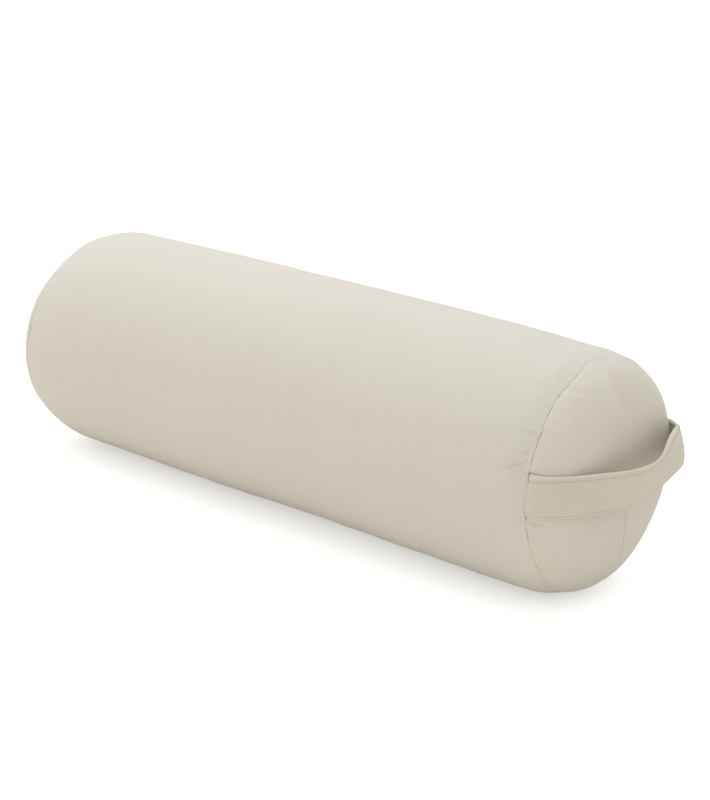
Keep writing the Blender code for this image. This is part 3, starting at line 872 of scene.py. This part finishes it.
def strap_sleeve(name, finish):
    """The sleeve's skin: sections of a flat oval carried along the strap, with soft waves."""
    turn = np.linspace(0, 180, 241)[:, None]
    half_count = 41
    rising = np.sin(np.linspace(-np.pi / 2, np.pi / 2, half_count))
    height = np.concatenate([rising, rising[-2:0:-1]]) * strap_width / 2 * 0.99999
    inner = np.concatenate([np.ones(half_count), -np.ones(half_count - 2)])
    inner[[0, half_count - 1]] = 0
    middle, out, _ = strap_frame(turn, height[None, :])
    depth = strap_half_depth(turn, height[None, :])
    points = middle + out * (strap_wave(middle, turn) - depth * inner)[..., None]
    length = distances(middle[:, half_count // 2])
    across = np.concatenate([[0], np.cumsum(np.abs(np.diff(height)))])
    across = np.append(across, across[-1] + abs(height[0] - height[-1]))
    flat = paired(length[:, None], across)
    # Paler along both rolled edges: partly rubbing, partly painted highlight on the edges.
    worn_and_highlit = hump(np.abs(height), strap_width / 2, 0.0012) * np.ones((len(turn), 1))
    return grid_piece(name, points[::-1], flat[::-1], finish, worn_and_highlit[::-1], round_it=True)


# The cover's cotton, dyed darker and warmer: painted shade over the strap, which faces away from the soft
# box.
shaded_strap_cloth = woven("shaded strap cloth", dye(210, 203, 187), yarn_pitch, yarn_relief, slub=yarn_slub)
sleeve = strap_sleeve("strap_sleeve", shaded_strap_cloth)
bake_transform(sleeve)
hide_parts("handle_sleeve")


def webbing_strip(name, finish):
    """The stiffener inside the sleeve: a flat ribbed band 1 mm thick, from root to root."""
    turn = np.linspace(1.5, 178.5, 121)[:, None]
    face = 9
    height = np.concatenate([np.linspace(-1, 1, face), np.linspace(1, -1, face)]) * webbing_half_width
    off_middle = np.concatenate([-np.ones(face), np.ones(face)]) * webbing_half_depth
    middle, out, _ = strap_frame(turn, height[None, :])
    points = middle + out * off_middle[:, None]
    flat = paired(distances(middle[:, face // 2])[:, None], np.append(height, height[0]))
    return grid_piece(name, points[::-1], flat[::-1], finish, round_it=True, closed=("first", "last"))


webbing_cloth = woven("webbing", dye(222, 217, 204), 0.0016, 0.0004, slub=0.1, mottle=0.03, sheen=0.1)
webbing = webbing_strip("strap_webbing", webbing_cloth)
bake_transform(webbing)
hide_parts("handle_webbing")


# Topstitching
# Polyester thread, dyed darker than the cover's cloth as painted shade for the sunk stitches.
# Each stitch is one short arch of thread whose ends go down into the cloth: two rows along both
# faces of the strap, and one round the zip.

thread_radius = 0.00023
stitch_pitch = 0.0033
stitch_share = 0.80
thread_sides = 6
thread_taper = np.array((0.55, 0.95, 1.0, 0.95, 0.55))


def stitches(name, places, ahead, out, length, finish, radius=thread_radius):
    """One small arched rod of thread at each place: rings of points along a cosine arch."""
    ahead, out = unit(ahead)[:, None, None], unit(out)[:, None, None]
    aside = unit(np.cross(out, ahead))
    rings = len(thread_taper)
    reach = np.linspace(-0.5, 0.5, rings)[:, None]
    thin = radius * thread_taper[:, None]
    around = np.linspace(0, 2 * np.pi, thread_sides + 1)[:-1]
    lift = radius * (1.5 * np.cos(np.pi * reach) - 0.75) + thin * np.sin(around)
    rods = (places[:, None, None] + ahead * (reach * length)[..., None]
            + out * lift[..., None] + aside * (thin * np.cos(around))[..., None])
    return solid_piece(name, [shell(rod) for rod in rods], finish, sharp=None)


def thread(name, colour):
    """Twisted polyester: a fine slanting wave in height along the thread, and in colour as painted shade,
    darker in the twist's grooves.
    """
    made, tree, place = start_material(name)
    wave = add_node(tree, "TexWave", Vector=place, Scale=900)
    wave.bands_direction = "DIAGONAL"
    twist = wave.outputs["Fac"]
    return shade(made, Base_Color=mix_colour(tree, twist, darker(colour, 0.82), colour),
                 Normal=bump(tree, twist, 0.00005), Roughness=0.55, Sheen_Weight=0.15)


# Darker than the cover cloth: painted shade for the stitches, which sit sunk in their lines.
shaded_cover_thread = thread("shaded cover thread", dye(182, 173, 155))


def strap_stitches(name, row, face):
    """Stitches evenly along a row on the strap, on its outer face, 1, or its inner one, -1."""
    turn = np.linspace(0, 180, 2001)
    length = distances(strap_frame(turn, row(turn))[0])
    marks = np.arange(stitch_pitch, length[-1] - stitch_pitch / 2, stitch_pitch)
    turn = np.interp(marks, length, turn)
    height = row(turn)
    middle, out, ahead = strap_frame(turn, height)
    off_middle = strap_wave(middle, turn) + face * strap_half_depth(turn, height)
    places = middle + out * off_middle[:, None]
    return stitches(name, places, ahead, out * face, stitch_pitch * stitch_share, shaded_cover_thread)


for place, row in (("upper", upper_row), ("lower", lower_row)):
    for face_name, face in (("outer", 1), ("inner", -1)):
        run = strap_stitches(f"strap_{place}_stitches_{face_name}", row, face)
        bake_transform(run)


# The insert's case
# An inner bag of undyed muslin keeps the filling together when the cover is off to be washed: a tube
# and two round ends, sewn edge to edge. It fills the cover and stays clear of its seams and the zip.

insert_depth = 0.0042
insert_rear_depth = 0.0056
insert_end_depth = 0.0074
muslin_thickness = 0.0005


def insert_wall(x, angle, depth):
    """The insert's wall, or a layer that deep inside it: the cover's wall, inset, more at its ends."""
    at_end = soft_step(np.abs(x), half_body - 0.020, half_body - 0.004)
    inset = depth + insert_depth + (insert_end_depth - insert_depth) * at_end
    wall = body_wall(x) + tube_changes(x, np.degrees(angle), half_body) - inset
    x, angle = np.broadcast_arrays(x, angle)
    return wall_round(x, angle, wall, depth + insert_depth, depth + insert_rear_depth)


def insert_tube(depth, lines, columns):
    """Points round a layer of the insert's tube, its lines closest together near the ends."""
    along = (half_body - 0.0005) * np.sin(np.linspace(-np.pi / 2, np.pi / 2, lines))[:, None]
    angle = np.linspace(0, 2 * np.pi, columns + 1)[None, :-1]
    return insert_wall(along, angle, depth)


def insert_dome(depth, lines, columns):
    """Points on a layer of the insert's near end, from its rim almost to its middle.

    The radius falls as a power of the cosine of a turn, and the reach grows as a power of its sine.
    """
    turn = np.pi / 2 * (1 - np.linspace(1, 0.1, lines)[:, None] ** 2)
    radius = (end_radius - insert_end_depth - depth) * np.cos(turn) ** (2 / across_power)
    x = half_body + 0.0005 + (end_bulge - insert_end_depth - depth) * np.sin(turn) ** (2 / outward_power)
    angle = np.linspace(0, 2 * np.pi, columns + 1)[None, :-1]
    return np.stack([x + 0 * angle, radius * np.cos(angle), axis_height + radius * np.sin(angle)], -1)


def cut_places(points):
    """Flat cloth places of a closed grid: distances down its first column and round its rows."""
    turns = np.linspace(0, full_round, points.shape[1] + 1)
    return paired(distances(points[:, 0])[:, None], turns)


def layer(name, points, finish, replaced, closed=()):
    """One soft layer of the insert, closed over its first or last row where those are named."""
    piece = grid_piece(name, points, cut_places(points), finish, round_it=True, closed=closed)
    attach(piece, "bolster")
    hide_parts(replaced)
    return piece


def at_far_end(points):
    """The same surface at the other end of the bolster, still facing outwards."""
    return (points * (-1, 1, 1))[:, ::-1]


muslin = woven("undyed muslin", dye(228, 222, 204), 0.0009, 0.0002, slub=0.6, mottle=0.08, sheen=0.1)
case_tube = insert_tube(0, 61, 144)
case_tube = case_tube - outwards(case_tube) * np.abs(stuffing(case_tube, 0.05, 0.0004, 61))[..., None]
case_piece = layer("case_tube", case_tube, muslin, "liner_tube")
thicken(case_piece, muslin_thickness)
case_end = insert_dome(0, 36, 144)
for place, end_points in (("near", case_end), ("far", at_far_end(case_end))):
    node = f"liner_end_{place}"
    case_piece = layer(f"case_end_{place}", end_points, muslin, node, closed=("last",))
    thicken(case_piece, muslin_thickness)


# The filling
# A tight roll of cotton batting is the core. A sheet of wadding is wrapped round it to smooth it, and
# a pad of loose fibre rounds each end.

wadding_depth = 0.0010
wadding_thickness = 0.0143
batting_pitch = 0.0115
batting_thickness = 0.0105
batting_first = 0.010


def fibre(name, colour, size, relief):
    """Matted fibre: two sizes of stretched noise, as curls in height, and in colour as painted shade,
    darker where the curls sink.
    """
    made, tree, place = start_material(name)
    curls = noise(tree, place, 1 / size, 6, (0.4, 1, 1))
    fluff = noise(tree, place, 4 / size, 4)
    height = calculate(tree, "MULTIPLY_ADD", curls, 0.7, calculate(tree, "MULTIPLY", fluff, 0.3))
    return shade(made, Base_Color=mix_colour(tree, height, darker(colour, 0.86), colour),
                 Roughness=calculate(tree, "MULTIPLY_ADD", fluff, 0.1, 0.85),
                 Normal=bump(tree, height, relief), Sheen_Weight=0.4)


wadding = fibre("needled wadding", dye(240, 238, 231), 0.02, 0.0008)
wrap_points = insert_tube(wadding_depth, 33, 96)
wrap = layer("wadding_wrap", wrap_points, wadding, "fill_wrap")
thicken(wrap, wadding_thickness)


def batting_roll():
    """One long sheet wound from the middle outwards: the radius grows by a pitch in each turn, and
    is less towards the ends, where the roll is packed tighter."""
    widest = body_radius - insert_rear_depth - wadding_depth - wadding_thickness - 0.0016
    turns = (widest - batting_first) / batting_pitch
    wound = np.linspace(0, turns, 320)[None, :]
    along = (half_body - 0.0010) * np.sin(np.linspace(-np.pi / 2, np.pi / 2, 21))[:, None]
    drawn_in = 1 - 0.115 * soft_step(np.abs(along), half_body - 0.060, half_body)
    radius = (batting_first + batting_pitch * wound) * drawn_in
    angle = 2 * np.pi * (wound - turns) + np.radians(200)
    points = [along + 0 * wound, radius * np.cos(angle), axis_height + radius * np.sin(angle)]
    points = np.stack(points, -1)
    length = 2 * np.pi * np.cumsum(radius[10]) * (wound[0, 1] - wound[0, 0])
    return points, paired(along, length)


batting = fibre("cotton batting", dye(226, 219, 200), 0.03, 0.0010)
roll_points, roll_flat = batting_roll()
roll = grid_piece("batting_roll", roll_points, roll_flat, batting)
thicken(roll, batting_thickness)
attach(roll, "bolster")
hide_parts("fill_core")


def fibre_pad():
    """The dome's inner layer, and behind it a flat back whose radius grows from the middle."""
    front = insert_dome(0.0012, 30, 96)
    growth = np.linspace(0.03, 0.97, 12)[:, None, None]
    middle = np.array((half_body + 0.0003, 0, axis_height))
    return np.concatenate([middle + growth * (front[0] - middle) * (0, 1, 1), front])


loose = fibre("loose fibre", dye(242, 240, 234), 0.012, 0.0014)
pad_points = fibre_pad()
for place, end_points in (("near", pad_points), ("far", at_far_end(pad_points))):
    layer(f"fibre_pad_{place}", end_points, loose, f"end_pad_{place}", ("first", "last"))


# The zip
# A nylon coil zip in the rear seam. Its two woven tapes are sewn in under the cover's folded edges.
# Each carries a coil of monofilament, and the loops of the two coils hook between each other.

zip_line = axis_height
tape_depth = 0.0025
tape_inner = 0.0012
tape_outer = 0.0142
tape_half_length = 0.242
tape_thickness = 0.0006
coil_pitch = 0.0015
coil_half_length = 0.227
coil_depth = 0.00125
coil_rise = 0.00055
coil_wire = 0.00029
coil_head = -0.00035
coil_root = 0.0036
coil_steps = 12
stop_place = 0.2285


def zip_tape(side, finish):
    """A flat woven strip with a faint bead along each edge, on the given side of the zip's line."""
    along = np.linspace(-tape_half_length, tape_half_length, 243)[:, None]
    across = np.linspace(tape_inner, tape_outer, 27)[None, :]
    bead = 0.00012 * (hump(across, tape_outer - 0.0008, 0.0005) + hump(across, tape_inner + 0.0006, 0.0004))
    y = rear_face - tape_depth + bead + 0.00004 * np.sin(along * 2 * np.pi / 0.031)
    points = np.stack([along + 0 * across, y + 0 * across, zip_line + side * across + 0 * along], -1)
    flat = paired(along, across)
    if side < 0:
        points, flat = points[:, ::-1], flat[:, ::-1]
    place = "upper" if side > 0 else "lower"
    tape = grid_piece(f"tape_{place}", points, flat, finish)
    return thicken(tape, tape_thickness), place


def rod(path, radius, sides):
    """Points round a path: its section is a circle across the path's own direction."""
    forward = unit(np.gradient(path, axis=0))
    bend = unit(np.gradient(forward, axis=0))
    aside = np.cross(forward, bend)
    turn = np.linspace(0, 2 * np.pi, sides + 1)[:-1]
    ring = bend[:, None] * np.cos(turn)[None, :, None] + unit(aside)[:, None] * np.sin(turn)[None, :, None]
    return path[:, None] + radius * ring


def coil_path(side):
    """A flattened helix along the zip: an oval in depth and across, moving on a pitch in each turn.

    The second coil is half a pitch on, so that its loops fall between the first one's.
    """
    start = coil_pitch / 2 if side < 0 else 0
    turns = int((2 * coil_half_length - coil_pitch) / coil_pitch)
    phase = np.arange(turns * coil_steps + 1) / coil_steps
    swing = 2 * np.pi * phase
    half_reach = (coil_root - coil_head) / 2
    across = coil_head + half_reach * (1 - np.cos(swing))
    depth = coil_depth + coil_rise * np.sin(swing)
    x = -coil_half_length + coil_wire + start + phase * coil_pitch
    return np.stack([x, rear_face - depth, zip_line + side * across], -1)


def nylon(name, colour):
    """Drawn nylon: smooth, with faint lines along it and a little dirt in soft patches."""
    made, tree, place = start_material(name)
    lines = noise(tree, place, 900, 3)
    grime = noise(tree, place, 60, 4)
    both = calculate(tree, "MULTIPLY_ADD", grime, 0.7, calculate(tree, "MULTIPLY", lines, 0.3))
    return shade(made, Base_Color=mix_colour(tree, both, darker(colour, 0.80), colour),
                 Roughness=calculate(tree, "MULTIPLY_ADD", lines, 0.2, 0.32),
                 Normal=bump(tree, lines, 0.00003), Coat_Weight=0.15)


def plated(name, colour):
    """Satin plated metal: fine brushing, soft clouds in the plating and a duller grain in it."""
    made, tree, place = start_material(name)
    brushing = noise(tree, place, 700, 4, (0.08, 1, 1))
    clouds = noise(tree, place, 180, 3)
    dull = calculate(tree, "MULTIPLY_ADD", clouds, 0.12, 0.16)
    return shade(made, Base_Color=mix_colour(tree, clouds, darker(colour, 0.72), colour),
                 Roughness=calculate(tree, "MULTIPLY_ADD", brushing, 0.25, dull),
                 Normal=bump(tree, brushing, 0.00004), Metallic=1.0)


tape_cloth = woven("zip tape", dye(206, 198, 180), 0.0007, 0.00018, slub=0.15, mottle=0.03, sheen=0.15)
coil_nylon = nylon("zip coil nylon", dye(205, 197, 179))
zip_thread = thread("zip thread", dye(200, 192, 175))
for side in (1, -1):
    tape, place = zip_tape(side, tape_cloth)
    coil = solid_piece(f"coil_{place}", [shell(rod(coil_path(side), coil_wire, 5))], coil_nylon, sharp=80)
    marks = np.arange(-coil_half_length + 0.002, coil_half_length - 0.001, 2 * coil_pitch)
    held = np.stack([marks, np.full(len(marks), rear_face - coil_depth + coil_rise + coil_wire),
                     np.full(len(marks), zip_line + side * (coil_root - 0.0010))], -1)
    ahead = np.tile((1.0, 0, 0), (len(marks), 1))
    out = np.tile((0, 1.0, 0), (len(marks), 1))
    run = stitches(f"coil_stitches_{place}", held, ahead, out, 1.7 * coil_pitch, zip_thread, 0.00014)
    for piece, kept in ((tape, "zip_tape"), (coil, "zip_coil")):
        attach(piece, "bolster")
        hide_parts(f"{kept}_{place}")
    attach(run, "bolster")


def signed_power(value, power):
    """The value's size raised to a power, with its own sign."""
    return np.sign(value) * np.abs(value) ** power


def block(middle, half, power=5.0):
    """A rounded block: a ball stretched to the half sizes, made squarer by the power of its ovals."""
    up = np.linspace(-np.pi / 2, np.pi / 2, 15)[1:-1][:, None]
    turn = np.linspace(0, 2 * np.pi, 29)[None, :-1]
    x = signed_power(np.sin(up), 2 / power) + 0 * turn
    y = signed_power(np.cos(up), 2 / power) * signed_power(np.cos(turn), 2 / power)
    z = signed_power(np.cos(up), 2 / power) * signed_power(np.sin(turn), 2 / power)
    return shell(np.array(middle) + np.stack([x, y, z], -1) * np.array(half))


def crimped_stop(x, low, high):
    """A folded metal stop over the coil's end, with a crimp pressed across its middle."""
    middle = (x, rear_face - coil_depth, zip_line + (low + high) / 2)
    half = (0.0012, coil_rise + coil_wire + 0.00004, (high - low) / 2)
    points, faces = block(middle, half, 6.0)
    pinch = 1 - 0.16 * hump(points[:, 0] - x, 0, 0.00045)
    points = np.array(middle) + (points - np.array(middle)) * np.stack([0 * pinch + 1, pinch, pinch], -1)
    return points, faces


zip_metal = plated("plated zip metal", (0.55, 0.53, 0.50, 1))
stops = (("top_stop_upper", "zip_top_stop_upper", stop_place, 0.0009, 0.0037),
         ("top_stop_lower", "zip_top_stop_lower", stop_place, -0.0037, -0.0009),
         ("bottom_stop", "zip_bottom_stop", -stop_place, -0.0037, 0.0037))
for name, node, x, low, high in stops:
    stop = solid_piece(name, [crimped_stop(x, low, high)], zip_metal)
    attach(stop, "bolster")
    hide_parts(node)


# The zip's slider and pull
# A die-cast slider: a shield-shaped top plate with turned-down sides, a lower plate under the tapes, a
# neck between the coils and a bail. A flat tab turns in the bail.

slider_place = 0.2205
slider_half_length = 0.0065
slider_half_width = 0.0048
nose_half_width = 0.0029
plate_top = -0.0011
bail_half_length = 0.00365
bail_height = 0.00295
bail_half_width = 0.0009
bail_half_depth = 0.00055
pivot_depth = -0.0023
tab_length = 0.0263
tab_half_width = 0.0035
tab_half_depth = 0.0007
tab_corner = 0.4
tab_columns = 96
window_near = 0.0007
window_far = 0.0069
window_half_width = 0.0015


def shield(shrink):
    """The slider's outline, drawn in by a length: straight sides that narrow to the nose."""
    turn = np.linspace(0, 2 * np.pi, 65)[:-1]
    x = -np.cos(turn) * slider_half_length
    side = slider_half_width - (slider_half_width - nose_half_width) * soft_step(x, 0.0005, 0.0062)
    share = 1 - np.abs(np.cos(turn)) ** 14
    z = np.sign(np.sin(turn)) * side * share**0.45
    length = 1 - shrink / slider_half_length
    return x * length, z * (1 - shrink / slider_half_width)


def slider_plate(levels):
    """A plate from pairs of depth and how far its outline is drawn in there, lowest first."""
    rows = []
    for depth, shrink in levels:
        x, z = shield(shrink)
        rows.append(np.stack([slider_place + x, np.full(len(x), rear_face - depth), zip_line + z], -1))
    return shell(np.stack(rows))


def bail_arch():
    """A bridge along the slider: a squared oval section carried up, over and down."""
    turn = np.linspace(0, np.pi, 33)
    x = -bail_half_length * signed_power(np.cos(turn), 0.42)
    rise = bail_height * np.sin(turn) ** 0.42
    y = rear_face - plate_top - 0.0004 + rise * 1.13
    path = np.stack([slider_place + x, y, np.full(33, zip_line)], -1)
    forward = unit(np.gradient(path, axis=0))
    across = np.array((0, 0, 1.0))
    out = unit(np.cross(across, forward))
    around = np.linspace(0, 2 * np.pi, 21)[:-1]
    reach = signed_power(np.cos(around), 0.6) * bail_half_depth
    width = signed_power(np.sin(around), 0.6) * bail_half_width
    return shell(path[:, None] + out[:, None] * reach[None, :, None] + across * width[None, :, None])


top_levels = ((0.0001, 0.0003), (-0.0001, 0.00004), (-0.0003, 0), (-0.0007, 0), (-0.00095, 0.0001),
              (-0.00107, 0.00035), (-0.0011, 0.0008), (-0.00115, 0.0018), (-0.0012, 0.0034))
lower_levels = ((0.0046, 0.0004), (0.0044, 0.0001), (0.0041, 0), (0.0037, 0), (0.0034, 0.0003))
slider_shells = [slider_plate(top_levels), slider_plate(lower_levels), bail_arch()]
# The neck joins the plates ahead of the bail, and the top plate's sides are turned down.
neck_middle = (slider_place + 0.00305, rear_face - 0.00175, zip_line)
slider_shells.append(block(neck_middle, (0.00225, 0.0019, 0.00055)))
for side in (1, -1):
    rail_middle = (slider_place - 0.00175, rear_face - 0.0009, zip_line + side * 0.0043)
    slider_shells.append(block(rail_middle, (0.0039, 0.0012, 0.00042)))
slider = solid_piece("slider_body", slider_shells, zip_metal)
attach(slider, "slider")
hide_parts("zip_slider")


def tab_outline(start, end, half_width):
    """A rounded oblong's outline by direction from the window's middle, as a squared oval."""
    middle = (window_near + window_far) / 2
    turn = np.linspace(0, 2 * np.pi, 2001)
    along = (start + end) / 2 + (end - start) / 2 * signed_power(np.cos(turn), tab_corner)
    across = half_width * signed_power(np.sin(turn), tab_corner)
    direction = np.unwrap(np.arctan2(across, along - middle))
    wanted = direction[0] + np.linspace(0, 2 * np.pi, tab_columns + 1)[:-1]
    return np.interp(wanted, direction, along), np.interp(wanted, direction, across)


def pull_tab():
    """A flat tab with a window at the bail: edge profiles carried round its outline and window."""
    half = tab_half_depth
    rows = []
    outer_levels = ((-half, 0.0004), (-0.6 * half, 0.0001), (0, 0), (0.6 * half, 0.0001), (half, 0.0004))
    for depth, shrink in outer_levels:
        along, across = tab_outline(shrink - half, tab_length - shrink, tab_half_width - shrink)
        waist = 1 - 0.16 * soft_step(along, 0.006, 0.013) + 0.10 * soft_step(along, 0.014, 0.024)
        rows.append((along, across * waist, depth))
    for depth, shrink in outer_levels[::-1]:
        grow = shrink * 0.7
        along, across = tab_outline(window_near - grow, window_far + grow, window_half_width + grow)
        rows.append((along, across, depth))
    points = []
    for along, across, depth in rows:
        y = np.full(len(along), rear_face - pivot_depth + depth)
        points.append(np.stack([slider_place - along, y, zip_line + across], -1))
    return shell(np.stack(points), wrap_rows=True)


tab = solid_piece("pull_tab", [pull_tab()], zip_metal)
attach(tab, "pull")
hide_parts("zip_pull_tab")


# The stitching round the zip
# One row of the cover's thread beside each folded edge, and a short row across each end of the zip,
# through the cover and the tapes.

zip_stitch_line = 0.0084
zip_stitch_end = 0.2375


def on_tube(x, height):
    """Places on the cover at x and at a height round it from the zip's line, and its outward
    directions there, read between the points of the tube's grid."""
    angle_here = np.where(height > 0, height, height + full_round) / body_radius
    lines, columns = tube.shape[:2]
    line = np.interp(x, along, np.arange(lines))
    low_line = np.clip(np.floor(line).astype(int), 0, lines - 2)
    part = (line - low_line)[:, None]
    edge = np.interp(x, along, edge_angle)
    share = (angle_here - edge) / (2 * np.pi - 2 * edge)
    column = np.interp(share, shares, np.arange(columns))
    low = np.clip(np.floor(column).astype(int), 0, columns - 2)
    rest = (column - low)[:, None]
    found = []
    for grid in (tube, normal):
        upper = grid[low_line, low] * (1 - rest) + grid[low_line, low + 1] * rest
        lower = grid[low_line + 1, low] * (1 - rest) + grid[low_line + 1, low + 1] * rest
        found.append(upper * (1 - part) + lower * part)
    return found[0], unit(found[1])


def seam_run(name, x, height):
    """Evenly spaced stitches along a line on the cover."""
    places, out = on_tube(x, height)
    length = distances(places)
    marks = np.arange(stitch_pitch / 2, length[-1], stitch_pitch)
    x, height = np.interp(marks, length, x), np.interp(marks, length, height)
    places, out = on_tube(x, height)
    ahead = np.gradient(places, axis=0)
    run = stitches(name, places, ahead, out, stitch_pitch * stitch_share, shaded_cover_thread)
    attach(run, "bolster")


for side, place in ((1, "upper"), (-1, "lower")):
    seam_run(f"zip_stitches_{place}", np.linspace(-zip_stitch_end, zip_stitch_end, 400),
             np.full(400, side * zip_stitch_line))
    for end, end_place in ((1, "near"), (-1, "far")):
        seam_run(f"zip_end_stitches_{end_place}_{place}", np.full(40, end * zip_stitch_end),
                 side * np.linspace(0.0010, zip_stitch_line, 40))


# The care label
# A strip of white satin folded in half and caught in the rear seam beyond the zip's end. It hangs down
# over the cover. Both faces are bare.

label_near = 0.246
label_width = 0.020
label_drop = 0.030
label_cloth = 0.00022
rib_pitch = 0.0004


def care_label(finish):
    """A strip carried along a path that leaves the seam, goes down over the cover, and comes back
    under itself. The path is given by how far it is down from the seam and how far off the cover,
    whose own ripples are added."""
    down = np.linspace(0.0022, label_drop - 0.0004, 22)
    curl = 0.0009 * (down / label_drop) ** 2
    start = ((0.00010, -0.0016), (0.00016, -0.0008), (0.00035, 0.0001),
             (0.0009, 0.00075), (0.0015, 0.00092))
    back = ((0.0012, 0.00042), (0.00055, 0.0001), (0.00020, -0.0007), (0.00005, -0.0016))
    tip = curl[-1]
    turned = label_drop - 0.0001
    fold = ((turned, tip + 0.00090), (label_drop, tip + 0.00070), (turned, tip + 0.00050))
    outer = np.stack([down, curl + 0.00095], -1)
    inner = np.stack([down[::-1], curl[::-1] + 0.00045], -1)
    line = np.concatenate([np.array(start), outer, np.array(fold), inner, np.array(back)])
    across = np.linspace(0, label_width, 15)[:, None]
    wave = 0.00012 * np.sin(across / label_width * 5.2 + 0.7) * soft_step(line[:, 0], 0.002, 0.012)
    x = -label_near - label_width + across + 0 * line[:, 0]
    angle = -line[:, 0] / body_radius + 0 * across
    wall = wall_round(x, angle, body_wall(x))
    away = np.stack([0 * angle, np.cos(angle), np.sin(angle)], -1)
    height = np.broadcast_to(-line[:, 0], x.shape)
    cover = on_tube(x.ravel(), height.ravel())[0].reshape(wall.shape)
    ripples = ((cover - wall) * away).sum(-1) * soft_step(line[:, 0], 0.0004, 0.0015)
    points = wall + away * (line[:, 1] + wave + ripples)[..., None]
    length = distances(line)
    return grid_piece("satin_label", points[::-1], paired(across, length)[::-1], finish), length[-1]


def satin(name, colour):
    """Woven satin ribbon: fine bright ribs across it, and cut edges that fray a little darker."""
    made, tree, place = start_material(name)
    places = split(tree, cut_cloth(tree))
    ribs = calculate(tree, "SINE", calculate(tree, "MULTIPLY", places["Y"], 2 * float(np.pi) / rib_pitch))
    ribs = calculate(tree, "MULTIPLY_ADD", ribs, 0.5, 0.5)
    aside = calculate(tree, "ABSOLUTE", calculate(tree, "SUBTRACT", places["X"], label_width / 2))
    at_edge = calculate(tree, "GREATER_THAN", aside, label_width / 2 - 0.0008)
    fray = calculate(tree, "MULTIPLY", noise(tree, place, 1500, 3), at_edge)
    share = calculate(tree, "MULTIPLY_ADD", ribs, 0.12, calculate(tree, "MULTIPLY", fray, 0.4))
    return shade(made, Base_Color=mix_colour(tree, share, colour, darker(colour, 0.75)),
                 Roughness=calculate(tree, "MULTIPLY_ADD", ribs, 0.15, 0.30),
                 Normal=bump(tree, ribs, 0.00003), Sheen_Weight=0.3)


label, label_length = care_label(satin("label satin", dye(236, 235, 230)))
thicken(label, label_cloth)
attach(label, "bolster")
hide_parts("care_label")


# The room
# A white light table that runs out past the view, one large soft box above and to the left, and an
# even white sky. The camera sees both as white, with the bolster's shadow on the table, which throws
# a faint cream light back up.

def make_floor():
    """A level square whose material glows a little, more to the camera, and throws back cream light."""
    reach = 9.0
    corners = [(-reach, -reach, 0), (reach, -reach, 0), (reach, reach, 0), (-reach, reach, 0)]
    mesh = bpy.data.meshes.new("floor")
    mesh.from_pydata(corners, [], [(0, 1, 2, 3)])
    made, tree, _ = start_material("white floor")
    seen = add_node(tree, "LightPath").outputs["Is Camera Ray"]
    cream, white = (0.92, 0.89, 0.83, 1), (0.90, 0.90, 0.90, 1)
    shade(made, Base_Color=mix_colour(tree, seen, cream, white), Roughness=0.9, Specular_IOR_Level=0.0)
    glow = add_node(tree, "Emission", Strength=calculate(tree, "MULTIPLY_ADD", seen, 0.37, 0.07))
    added = add_node(tree, "AddShader")
    tree.links.new(tree.nodes["Principled BSDF"].outputs[0], added.inputs[0])
    tree.links.new(glow.outputs[0], added.inputs[1])
    tree.links.new(added.outputs[0], tree.nodes["Material Output"].inputs["Surface"])
    return add_piece("floor", mesh, made)


make_floor()


def make_sky():
    """An even white world, a little brighter to the camera and in reflections."""
    sky = bpy.data.worlds.new("sky")
    sky.use_nodes = True
    tree = sky.node_tree
    rays = add_node(tree, "LightPath").outputs
    seen = calculate(tree, "MAXIMUM", rays["Is Camera Ray"], rays["Is Glossy Ray"])
    seen = calculate(tree, "MAXIMUM", seen, rays["Is Transmission Ray"])
    strength = calculate(tree, "MULTIPLY_ADD", seen, 0.15, 0.85)
    feed_all(tree, tree.nodes["Background"], {"Color": (1, 1, 1, 1), "Strength": strength})
    return sky


bpy.context.scene.world = make_sky()


def soft_box(place, size, power, colour):
    """A square studio light, hung at a place and turned to the middle of the bolster."""
    lamp = bpy.data.objects.new("soft box", bpy.data.lights.new("soft box", "AREA"))
    lamp.data.size = size
    lamp.data.energy = power
    lamp.data.color = colour
    aim = (Vector((0, 0, axis_height)) - Vector(place)).to_track_quat("-Z", "Y")
    lamp.matrix_world = Matrix.Translation(place) @ aim.to_matrix().to_4x4()
    bpy.context.scene.collection.objects.link(lamp)


soft_box((-0.50, 0.10, 1.80), 1.8, 16, (0.98, 0.99, 1.0))

bpy.context.scene.view_settings.view_transform = "Standard"
